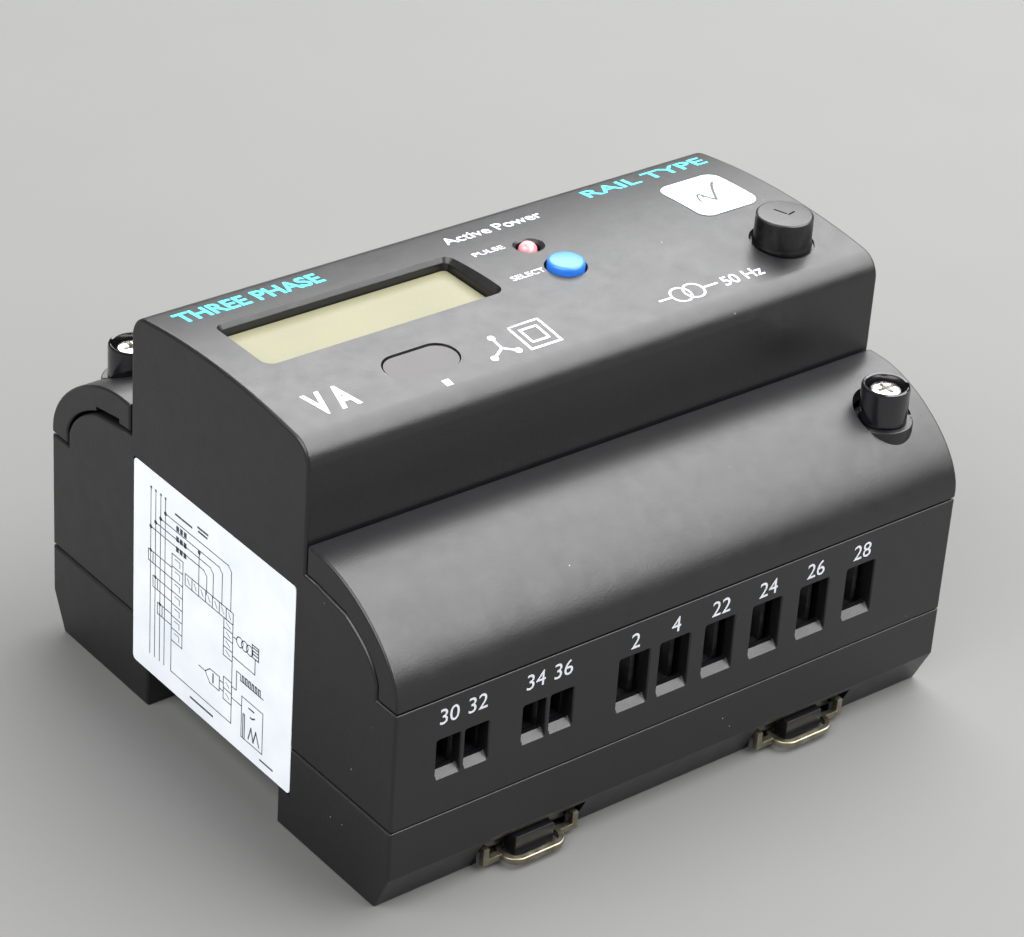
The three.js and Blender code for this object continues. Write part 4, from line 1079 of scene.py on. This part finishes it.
class Drawing:
    """Flat closed shapes of ink, gathered into one solid."""

    def __init__(self):
        self.solid = bmesh.new()

    def slab(self, points):
        low = [self.solid.verts.new((u, v, 0)) for u, v in points]
        high = [self.solid.verts.new((u, v, INK)) for u, v in points]
        count = len(points)
        self.solid.faces.new(low[::-1])
        self.solid.faces.new(high)
        for i in range(count):
            j = (i + 1) % count
            self.solid.faces.new((low[i], low[j], high[j], high[i]))

    def line(self, points, width=0.2):
        for (u0, v0), (u1, v1) in zip(points, points[1:]):
            along = Vector((u1 - u0, v1 - v0))
            if along.length < 1e-6:
                continue
            along = along.normalized() * width / 2
            side = Vector((-along.y, along.x))
            start, end = Vector((u0, v0)) - along, Vector((u1, v1)) + along
            self.slab([tuple(start - side), tuple(end - side), tuple(end + side), tuple(start + side)])

    def frame(self, u0, v0, u1, v1, width=0.2):
        self.line([(u0, v0), (u1, v0), (u1, v1), (u0, v1), (u0, v0)], width)

    def dot(self, u, v, radius):
        self.slab(circle(u, v, radius, 16))

    def ring(self, u, v, radius, width, steps=32):
        self.line(arc(u, v, radius, 0, 360, steps), width)

    def text(self, words, left, bottom, width, height, bold=0.0):
        """Lettering fitted into a box. With no width, it keeps its own and is centred on left."""
        curve = bpy.data.curves.new("lettering", "FONT")
        curve.body = words
        curve.offset = bold
        thing = bpy.data.objects.new("lettering", curve)
        bpy.context.scene.collection.objects.link(thing)
        evaluated = thing.evaluated_get(bpy.context.evaluated_depsgraph_get())
        mesh = bpy.data.meshes.new_from_object(evaluated)
        flat = bmesh.new()
        flat.from_mesh(mesh)
        bpy.data.meshes.remove(mesh)
        bpy.data.objects.remove(thing)
        bpy.data.curves.remove(curve)
        bmesh.ops.remove_doubles(flat, verts=flat.verts, dist=1e-5)
        us = [v.co.x for v in flat.verts]
        vs = [v.co.y for v in flat.verts]
        scale_v = height / (max(vs) - min(vs))
        scale_u = width / (max(us) - min(us)) if width else scale_v
        start = left if width else left - scale_u * (max(us) - min(us)) / 2
        for vert in flat.verts:
            across, rise = (vert.co.x - min(us)) * scale_u, (vert.co.y - min(vs)) * scale_v
            vert.co = Vector((start + across, bottom + rise, 0))
        raised = bmesh.ops.extrude_face_region(flat, geom=flat.faces[:])
        for item in raised["geom"]:
            if isinstance(item, bmesh.types.BMVert):
                item.co.z = INK
        bmesh.ops.recalc_face_normals(flat, faces=flat.faces)
        mesh = bpy.data.meshes.new("lettering")
        flat.to_mesh(mesh)
        flat.free()
        self.solid.from_mesh(mesh)
        bpy.data.meshes.remove(mesh)

    def laid(self, place, strip=0.0):
        """The finished drawing, each point moved by place(u, v, w), in strips narrow enough to bend."""
        if strip:
            vs = [vert.co.y for vert in self.solid.verts]
            for i in range(math.floor(min(vs) / strip) + 1, math.ceil(max(vs) / strip)):
                everything = self.solid.verts[:] + self.solid.edges[:] + self.solid.faces[:]
                bmesh.ops.bisect_plane(
                    self.solid, geom=everything, plane_co=(0, i * strip, 0), plane_no=(0, 1, 0), dist=1e-5)
        for vert in self.solid.verts:
            vert.co = Vector(place(*vert.co))
        bmesh.ops.recalc_face_normals(self.solid, faces=self.solid.faces)
        return self.solid


def on_top(lift=0.01):
    return lambda u, v, w: (u, v, crown_height(v) + lift + w)


def on_near_wall(u, v, w):
    return (u, -HALF_DEPTH - INK_LIFT - w, v)


def on_far_wall(u, v, w):
    return (-u, HALF_DEPTH + INK_LIFT + w, v)


def draw_title():
    """Words in cyan at the two far corners of the front."""
    ink = Drawing()
    ink.text("THREE PHASE", -49.8, 14.3, 25.2, 3.7, 0.022)
    ink.text("RAIL TYPE", 26.6, 15.4, 24.4, 2.9, 0.012)
    return ink.laid(on_top(), STRIP)


def draw_front_legends():
    """White legends and connection symbols on the front."""
    ink = Drawing()
    ink.text("Active Power", -2.4, 13.9, 18.6, 2.5, 0.008)
    ink.text("PULSE", -1.7, 7.9, 5.7, 1.3, 0.008)
    ink.text("SELECT", -1.7, -1.5, 6.2, 1.3, 0.008)
    ink.text("V A", -47.9, -17.2, 7.3, 5.2, 0.035)
    ink.slab([(-27.5, -19.35), (-26.3, -19.35), (-26.3, -17.95), (-27.5, -17.95)])
    star = (-14.7, -15.4)
    for tip in ((-14.6, -12.7), (-12.8, -16.9), (-17.2, -17.0)):
        ink.line([star, tip], 0.42)
        ink.dot(tip[0], tip[1], 0.62)
    ink.frame(-10.85, -17.55, -5.35, -11.65, 0.42)
    ink.frame(-9.6, -16.2, -6.6, -13.0, 0.42)
    ink.line([(14.3, -16.4), (16.7, -16.4)], 0.36)
    ink.ring(18.4, -16.4, 1.7, 0.36)
    ink.ring(20.9, -16.4, 1.7, 0.36)
    ink.line([(22.6, -16.4), (25.4, -16.4)], 0.36)
    ink.text("50 Hz", 26.4, -17.7, 7.8, 2.2, 0.008)
    return ink.laid(on_top(), STRIP)


WAY_NUMBERS = {
    "r1": "30", "r2": "32", "p1": "34", "p2": "36", "l": "2", "n": "4", "v1": "22", "v2": "24", "v3": "26",
    "vn": "28", "d1": "44", "d2": "42", "d3": "40", "i1": "60", "i2": "58", "i3": "56", "i4": "54",
    "i5": "52", "i6": "50",
}


def draw_terminal_numbers():
    """Plain numbers over the wire openings of both long walls."""
    near, far = Drawing(), Drawing()
    for way in NEAR_WAYS + MAINS_WAYS:
        near.text(WAY_NUMBERS[way], middle(f"screw_{way}").x - 0.2, 30.85, None, 2.6)
    for way in DATA_WAYS + CURRENT_WAYS:
        far.text(WAY_NUMBERS[way], -middle(f"screw_{way}").x, 30.85, None, 2.6)
    return together(near.laid(on_near_wall), far.laid(on_far_wall))


def draw_wiring_diagram():
    """A plain connection diagram on the end label: supply lines, terminal boxes and loads."""
    low, high = node_box("wiring_label")
    width, height = high.y - low.y, high.z - low.z
    ink = Drawing()

    def at(u, v):
        return u * width, (1 - v) * height

    def path(points, line=0.16):
        ink.line([at(u, v) for u, v in points], line)

    def box(u0, v0, u1, v1, line=0.16):
        path([(u0, v0), (u1, v0), (u1, v1), (u0, v1), (u0, v0)], line)

    supply = (0.112, 0.143, 0.175, 0.205)
    taps = (0.27, 0.232, 0.195, 0.152)
    corners = (0.47, 0.51, 0.565, 0.62)
    feet = (0.375, 0.365, 0.365, 0.36)
    for line_u, tap, corner, foot in zip(supply, taps, corners, feet):
        path([(line_u, 0.08), (line_u, 0.9)])
        ink.dot(*at(line_u, tap), 0.36)
        ink.dot(*at(line_u, 0.08), 0.24)
        path([(line_u, tap), (corner - 0.02, tap), (corner, tap + 0.02), (corner, foot)])
    ink.dot(*at(0.42, 0.205), 0.36)
    path([(0.42, 0.205), (0.42, 0.36)])
    # Terminal boxes: a column on the left, a row across and a column on the right.
    for i in range(7):
        top = 0.315 + i * 0.061
        box(0.25, top, 0.32, top + 0.061)
        path([(0.27, top + 0.018), (0.3, top + 0.018), (0.3, top + 0.043)], 0.12)
    for i in range(7):
        left = 0.335 + i * 0.043
        box(left, 0.36, left + 0.043, 0.415)
        path([(left + 0.014, 0.375), (left + 0.028, 0.4)], 0.12)
    for count, left, start, tall, mark_u, mark_v in (
            (4, 0.58, 0.415, 0.045, 0.595, 0.015), (2, 0.585, 0.7, 0.055, 0.6, 0.02)):
        for i in range(count):
            top = start + i * tall
            box(left, top, 0.636, top + tall)
            path([(mark_u, top + mark_v), (0.62, top + mark_v + 0.015)], 0.12)
    path([(0.25, 0.74), (0.25, 0.9), (0.636, 0.9), (0.636, 0.6)])
    # Current transformers on the supply lines.
    for i in range(3):
        top = 0.385 + i * 0.115
        left = 0.098 + i * 0.031
        box(left, top, left + 0.03, top + 0.055)
        path([(left, top), (0.25, top)])
        path([(left, top + 0.055), (0.25, top + 0.055)])
        ink.dot(*at(left + 0.015, top), 0.3)
    for row in range(3):
        for i in range(3):
            left, top = 0.275 + i * 0.024, 0.165 + row * 0.05
            right, foot = left + 0.017, top + 0.025
            ink.slab([at(left, top), at(right, top), at(right, foot), at(left, foot)])
    # Small print is drawn as short dashes.
    dashes = ((0.27, 0.3, 0.115), (0.31, 0.37, 0.115), (0.41, 0.47, 0.09), (0.415, 0.465, 0.108))
    for start, end, v in dashes:
        path([(start, v), (end, v)], 0.34)
    path([(0.38, 0.945), (0.52, 0.945)], 0.34)
    path([(0.82, 0.955), (0.895, 0.955)], 0.3)
    # Amplifier symbol.
    path([(0.43, 0.75), (0.47, 0.75), (0.5, 0.72), (0.56, 0.72), (0.56, 0.79), (0.5, 0.79), (0.47, 0.75)])
    path([(0.56, 0.735), (0.585, 0.735)])
    path([(0.56, 0.775), (0.585, 0.775)])
    path([(0.52, 0.735), (0.52, 0.775)], 0.3)
    # Coil and its leads.
    for i in range(3):
        centre = at(0.68 + i * 0.03, 0.47)
        ink.ring(centre[0], centre[1], 0.85, 0.16, 20)
    path([(0.636, 0.47), (0.66, 0.47)])
    path([(0.636, 0.565), (0.775, 0.565), (0.775, 0.49)])
    box(0.755, 0.43, 0.795, 0.49, 0.2)
    for i in range(3):
        path([(0.76, 0.442 + i * 0.015), (0.79, 0.442 + i * 0.015)], 0.2)
    # Pulse train.
    path([(0.636, 0.715), (0.665, 0.715), (0.665, 0.62), (0.69, 0.62), (0.69, 0.65), (0.83, 0.65)])
    for i in range(6):
        left = 0.7 + i * 0.02
        path([(left, 0.65), (left, 0.62), (left + 0.01, 0.62), (left + 0.01, 0.65)], 0.22)
    # Boxed load.
    box(0.7, 0.72, 0.83, 0.92)
    path([(0.636, 0.77), (0.7, 0.77)])
    path([(0.71, 0.92), (0.71, 0.8), (0.72, 0.8), (0.72, 0.92)], 0.2)
    path([(0.745, 0.9), (0.76, 0.84), (0.775, 0.9), (0.79, 0.84), (0.81, 0.9)], 0.24)
    path([(0.745, 0.75), (0.775, 0.75)], 0.26)
    path([(0.755, 0.79), (0.765, 0.79), (0.78, 0.78)], 0.26)
    surface = low.x + PRINT_ROOM - INK_LIFT
    return ink.laid(lambda u, v, w: (surface - w, high.y - u, low.z + v))


def build_labels():
    low, high = node_box("wiring_label")
    outline = rounded((low.y + high.y) / 2, (low.z + high.z) / 2, high.y - low.y, high.z - low.z, 0.8, 5)
    film = prism(outline, low.x + PRINT_ROOM, high.x, "X", soft=0.04)
    make_piece("end_label_film", film, finish("film"), "housing", ["wiring_label"])
    make_piece("end_label_print", draw_wiring_diagram(), finish("black_ink"), "housing")
    spot_low, spot_high = node_box("check_sticker")
    spot = (spot_low + spot_high) / 2
    size = spot_high - spot_low
    sheet = crown_sheet(rounded(spot.x, spot.y, size.x, size.y, 2.2, 8), 0.04, 0.16)
    make_piece("sticker_film", sheet, finish("film"), "housing", ["check_sticker"])
    ink = Drawing()
    tick = bezier((-1.4, 0.6), (-0.9, -0.6), (-0.6, -1.8), (-0.2, -2.2), 8)
    tick += bezier((-0.2, -2.2), (0.8, -0.6), (2.2, 2.2), (3.4, 3.0), 12)
    ink.line([(spot.x + u, spot.y + v) for u, v in [(-1.4, 0.6)] + tick], 0.5)
    loop = bezier((-2.8, -1.6), (-2.2, 0.8), (-1.0, 1.6), (-1.4, -0.4), 10)
    ink.line([(spot.x + u, spot.y + v) for u, v in [(-2.8, -1.6)] + loop], 0.34)
    make_piece("sticker_tick", ink.laid(on_top(0.17), STRIP), finish("black_ink"), "housing")


def build_printing(looks):
    make_piece("print_title", draw_title(), finish("cyan_ink", looks), "housing")
    make_piece("print_legends", draw_front_legends(), finish("white_ink"), "housing")
    make_piece("print_terminals", draw_terminal_numbers(), finish("white_ink"), "housing")


# ---------------------------------------------------------------- rail clips


def build_rail_clip(side, x, looks):
    """One slider: a flanged plate with a nose for the rail, a grip and slots for the loop's feet."""
    nose = [
        (-18.5, FLANGE_LOW), (-16.6, FLANGE_LOW), (-15.9, 3.1), (-15.9, FLANGE_HIGH), (-18.5, FLANGE_HIGH)]
    plate = block((-FLANGE_HALF, FLANGE_HALF), (-42.3, -18), (FLANGE_LOW, FLANGE_HIGH), soft=0.15)
    feet = [block(span, (-43, -39), (2.7, 4.3)) for span in ((-9.1, -7.5), (7.5, 9.1))]
    steps = [
        ("join", block((-SLIDER_HALF, SLIDER_HALF), (-40, -18), (0.4, 2.6), soft=0.15)),
        ("join", block((-3.6, 3.6), (-44.9, -42.1), (1.2, FLANGE_HIGH), soft=0.25)),
        ("join", prism(nose, -7, 7, "X", soft=0.15)),
        ("cut", together(*feet)),
        ("cut", block((-5.5, 5.5), (-36, -24), (0, 1.4))),
        ("join", together(*[block((-5.2, 5.2), (y, y + 0.8), (0.6, 1.5)) for y in (-33.5, -30.5, -27.5)])),
    ]
    slider = shifted(combine(plate, steps), x)
    make_piece(
        f"slider_{side}", slider, finish("casing", looks), f"clip_{side}", [f"rail_clip_{side}"])


def build_pull_loop(side, x):
    """Bent loop: a rounded band that stands out of the slider, with a leg on each side."""
    low = node_box(f"clip_pull_{side}")[0]
    reach = PULL_Y - low.y
    outer = rounded(0, PULL_Y, 11.2, 2 * reach, 2.6, 10)
    inner = rounded(0, PULL_Y, 9.4, 2 * reach - 1.8, 1.7, 10)
    band = combine(prism(outer, 0.95, 2.05, soft=0.25), [("cut", prism(inner, 0, 3))])
    legs = []
    for sign in (-1, 1):
        span = sorted((sign * 5.2, sign * 8.5))
        legs.append(("join", block(span, (PULL_Y - 0.4, PULL_Y + 0.7), (0.97, 2.03), soft=0.12)))
        foot = sorted((sign * 7.78, sign * 8.82))
        legs.append(("join", block(foot, (PULL_Y - 0.38, PULL_Y + 0.68), (0.95, 4.0), soft=0.12)))
        legs.append(("join", block(foot, (PULL_Y, -39.5), (2.97, 4.03), soft=0.12)))
    loop = shifted(combine(band, legs), x)
    make_piece(
        f"pull_loop_{side}", loop, finish("loop"), f"clip_{side}", [f"clip_pull_{side}"])


# ---------------------------------------------------------------- screws


def screw_solid(low_z, shaft, head, head_z, top, reach, width):
    """A screw with a cross recess about the origin's axis."""
    screw = turned([
        (0, low_z), (shaft * 0.8, low_z + 0.05), (shaft, low_z + 0.35), (shaft, head_z),
        (head - 0.1, head_z), (head, head_z + 0.1), (head, top - 0.35), (head - 0.1, top - 0.12),
        (head - 0.35, top), (0, top)], sides=36)
    return combine(screw, [("cut", arm) for arm in cross_cut(reach, width, top - 1.1, top + 0.3, 20)])


def build_terminal_screws():
    for way in MAINS_WAYS:
        spot = middle(f"screw_{way}")
        screw = shifted(screw_solid(23.4, 1.5, 2.5, 31.9, 34.4, 3.4, 0.7), spot.x, spot.y)
        make_piece(f"cage_screw_{way}_head", screw, finish("nickel"), f"cage_screw_{way}",
                   [f"screw_{way}"])
        finish_node(f"clamp_{way}", finish("clamp"))
    for way in NEAR_WAYS + DATA_WAYS + CURRENT_WAYS:
        low, high = node_box(f"screw_{way}")
        spot = (low + high) / 2
        head = (high.x - low.x) / 2
        screw = shifted(screw_solid(low.z, 1.2, head, 28.6, high.z, 1.6 * head, 0.6), spot.x, spot.y)
        make_piece(f"way_screw_{way}_head", screw, finish("nickel"), f"way_screw_{way}",
                   [f"screw_{way}"])


def build_casing_screws():
    for side in ("near", "far"):
        spot = middle(f"casing_screw_{side}")
        screw = turned([
            (0, 1), (2.3, 1), (2.6, 1.15), (2.7, 1.5), (2.7, 3.4), (1.4, 3.6), (1.4, 24), (0, 25.2)],
            sides=40)
        arms = []
        for arm in cross_cut(3.8, 0.8, 0.4, 2.0):
            arm.transform(Matrix.Scale(-1, 4, (0, 0, 1)) @ Matrix.Translation((0, 0, -2.6)))
            bmesh.ops.recalc_face_normals(arm, faces=arm.faces)
            arms.append(("cut", arm))
        make_piece(f"casing_screw_{side}_turned", shifted(combine(screw, arms), spot.x, spot.y),
                   finish("nickel"), "housing", [f"casing_screw_{side}"])


# ---------------------------------------------------------------- stage


def build_stage(looks):
    mesh = bpy.data.meshes.new("studio_floor")
    solid = bmesh.new()
    signs = ((-1, -1), (1, -1), (1, 1), (-1, 1))
    solid.faces.new([solid.verts.new((FLOOR_REACH * u, FLOOR_REACH * v, 0)) for u, v in signs])
    solid.to_mesh(mesh)
    solid.free()
    floor = bpy.data.objects.new("studio_floor", mesh)
    mesh.materials.append(finish("floor", looks))
    bpy.context.scene.collection.objects.link(floor)

    camera = bpy.data.cameras.new("camera")
    camera.lens = CAMERA_LENS
    camera.sensor_width = 36
    camera.clip_start, camera.clip_end = 0.01, 20
    eye = bpy.data.objects.new("camera", camera)
    right = Vector(CAMERA_RIGHT).normalized()
    forward = Vector(CAMERA_FORWARD).normalized()
    up = right.cross(forward)
    turn = Matrix((right, up, -forward)).transposed().to_4x4()
    eye.matrix_world = Matrix.Translation(CAMERA_PLACE) @ turn
    bpy.context.scene.collection.objects.link(eye)
    bpy.context.scene.camera = eye

    lamps = (
        # name, place, aim, size, power
        ("overhead_softbox", (0.72, -0.35, 0.95), (0.72, -0.35, 0), (1.36, 3.9), looks.key_power),
        ("side_softbox", (-1.0, -0.1, 0.95), (0, 0, 0.03), (1.5, 1.0), looks.side_power),
    )
    for name, place, aim, size, power in lamps:
        light = bpy.data.lights.new(name, "AREA")
        light.shape = "RECTANGLE"
        light.size, light.size_y = size
        light.energy = power
        lamp = bpy.data.objects.new(name, light)
        lamp.location = place
        lamp.rotation_mode = "QUATERNION"
        lamp.rotation_quaternion = (Vector(aim) - Vector(place)).to_track_quat("-Z", "Y")
        bpy.context.scene.collection.objects.link(lamp)

    world = bpy.data.worlds.new("studio_air")
    world.use_nodes = True
    background = world.node_tree.nodes["Background"]
    background.inputs["Color"].default_value = srgb("e8ecf0")
    background.inputs["Strength"].default_value = looks.air_strength
    bpy.context.scene.world = world
    bpy.context.scene.view_settings.view_transform = "Standard"


# ---------------------------------------------------------------- settings, operators and panel


class METER_PG_looks(bpy.types.PropertyGroup):
    """Colours and surface values of the meter and its stage."""

    casing_color: FloatVectorProperty(
        name="Casing", description="Colour of the casing's plastic", subtype="COLOR", size=4, min=0, max=1,
        default=srgb("111113"))
    casing_roughness: FloatProperty(
        name="Casing roughness", description="How matt the casing is", default=0.36, min=0.1, max=0.9,
        subtype="FACTOR")
    grain_size: FloatProperty(
        name="Grain", description="Width of the moulded grain", default=0.34 * MM, min=0.05 * MM,
        max=2 * MM, precision=5, unit="LENGTH")
    edge_radius: FloatProperty(
        name="Edge radius", description="Rounding of the casing's end edges", default=0.55 * MM,
        min=0.1 * MM, max=0.8 * MM, precision=5, unit="LENGTH")
    button_color: FloatVectorProperty(
        name="Button", description="Colour of the push button", subtype="COLOR", size=4, min=0, max=1,
        default=srgb("2a73d6"))
    display_color: FloatVectorProperty(
        name="Display", description="Colour of the unlit display", subtype="COLOR", size=4, min=0, max=1,
        default=srgb("706e56"))
    title_color: FloatVectorProperty(
        name="Title", description="Ink colour of the words at the far corners", subtype="COLOR", size=4,
        min=0, max=1, default=srgb("3fd6e0"))
    floor_color: FloatVectorProperty(
        name="Floor", description="Colour of the studio floor", subtype="COLOR", size=4, min=0, max=1,
        default=srgb("6c6c6b"))
    key_power: FloatProperty(
        name="Overhead light", description="Power of the overhead softbox", default=124, min=0,
        unit="POWER")
    side_power: FloatProperty(
        name="Side light", description="Power of the softbox on the left", default=30, min=0, unit="POWER")
    air_strength: FloatProperty(
        name="Air", description="Strength of the light from all round", default=0.09, min=0, max=5)


class METER_OT_lower_casing(bpy.types.Operator):
    """Build the lower casing with the rail channel"""

    bl_idname = "meter.lower_casing"
    bl_label = "Lower casing"

    def execute(self, context):
        build_lower_casing(context.scene.meter_looks)
        build_casing_screws()
        return {"FINISHED"}


class METER_OT_upper_casing(bpy.types.Operator):
    """Build the upper casing with the front block, decks and wire openings"""

    bl_idname = "meter.upper_casing"
    bl_label = "Upper casing"

    def execute(self, context):
        build_upper_casing(context.scene.meter_looks)
        return {"FINISHED"}


class METER_OT_covers(bpy.types.Operator):
    """Build the two terminal covers"""

    bl_idname = "meter.covers"
    bl_label = "Terminal covers"

    def execute(self, context):
        for side in ("near", "far"):
            build_cover(side, context.scene.meter_looks)
        return {"FINISHED"}


class METER_OT_sealing_screws(bpy.types.Operator):
    """Build the sealing screws and their sleeves"""

    bl_idname = "meter.sealing_screws"
    bl_label = "Sealing screws"

    def execute(self, context):
        for side in ("near", "far"):
            build_sealing_screw(side)
        return {"FINISHED"}


class METER_OT_controls(bpy.types.Operator):
    """Build the knob, button, light and infrared window"""

    bl_idname = "meter.controls"
    bl_label = "Knob, button and light"

    def execute(self, context):
        build_knob()
        build_button(context.scene.meter_looks)
        build_light()
        build_infrared_window()
        return {"FINISHED"}


class METER_OT_display(bpy.types.Operator):
    """Build the display glass and finish its carrier"""

    bl_idname = "meter.display"
    bl_label = "Display"

    def execute(self, context):
        build_display(context.scene.meter_looks)
        return {"FINISHED"}


class METER_OT_labels(bpy.types.Operator):
    """Build the end label with its diagram and the sticker"""

    bl_idname = "meter.labels"
    bl_label = "Labels"

    def execute(self, context):
        build_labels()
        return {"FINISHED"}


class METER_OT_printing(bpy.types.Operator):
    """Print the words, symbols and numbers"""

    bl_idname = "meter.printing"
    bl_label = "Printing"

    def execute(self, context):
        build_printing(context.scene.meter_looks)
        return {"FINISHED"}


class METER_OT_rail_clips(bpy.types.Operator):
    """Build the rail sliders and their pull loops"""

    bl_idname = "meter.rail_clips"
    bl_label = "Rail clips"

    def execute(self, context):
        for side, x in (("left", -CLIP_X), ("right", CLIP_X)):
            build_rail_clip(side, x, context.scene.meter_looks)
            build_pull_loop(side, x)
        return {"FINISHED"}


class METER_OT_terminals(bpy.types.Operator):
    """Build the terminal screws and finish the clamps and blocks"""

    bl_idname = "meter.terminals"
    bl_label = "Terminals"

    def execute(self, context):
        build_terminal_screws()
        for node in ("relay_terminals", "pulse_terminals", "data_terminals", "current_terminals"):
            finish_node(node, finish("terminal"))
        return {"FINISHED"}


class METER_OT_electronics(bpy.types.Operator):
    """Finish the boards and what stands on them"""

    bl_idname = "meter.electronics"
    bl_label = "Electronics"

    def execute(self, context):
        finishes = {
            "main_board": "board", "display_board": "board", "lock_switch": "terminal",
            "scroll_switch": "terminal", "power_transformer": "core", "filter_capacitor": "can",
            "output_relay": "relay", "backup_battery": "nickel", "board_link": "terminal",
        }
        for node, name in finishes.items():
            finish_node(node, finish(name))
        return {"FINISHED"}


class METER_OT_stage(bpy.types.Operator):
    """Set up the floor, camera and lights"""

    bl_idname = "meter.stage"
    bl_label = "Stage"

    def execute(self, context):
        build_stage(context.scene.meter_looks)
        return {"FINISHED"}


STEPS = (
    METER_OT_lower_casing, METER_OT_upper_casing, METER_OT_covers, METER_OT_sealing_screws,
    METER_OT_controls, METER_OT_display, METER_OT_labels, METER_OT_printing, METER_OT_rail_clips,
    METER_OT_terminals, METER_OT_electronics, METER_OT_stage,
)


class METER_PT_sidebar(bpy.types.Panel):
    """Sizes, colours and the steps that build the meter"""

    bl_idname = "METER_PT_sidebar"
    bl_label = "Rail meter"
    bl_space_type = "VIEW_3D"
    bl_region_type = "UI"
    bl_category = "Meter"

    def draw(self, context):
        looks = context.scene.meter_looks
        for name in METER_PG_looks.__annotations__:
            self.layout.prop(looks, name)
        for step in STEPS:
            self.layout.operator(step.bl_idname)


CLASSES = (METER_PG_looks,) + STEPS + (METER_PT_sidebar,)


def register():
    for item in CLASSES:
        bpy.utils.register_class(item)
    bpy.types.Scene.meter_looks = PointerProperty(type=METER_PG_looks)


def unregister():
    del bpy.types.Scene.meter_looks
    for item in reversed(CLASSES):
        bpy.utils.unregister_class(item)


def main():
    register()
    for step in STEPS:
        group, name = step.bl_idname.split(".")
        getattr(getattr(bpy.ops, group), name)()


if __name__ == "__main__":
    main()
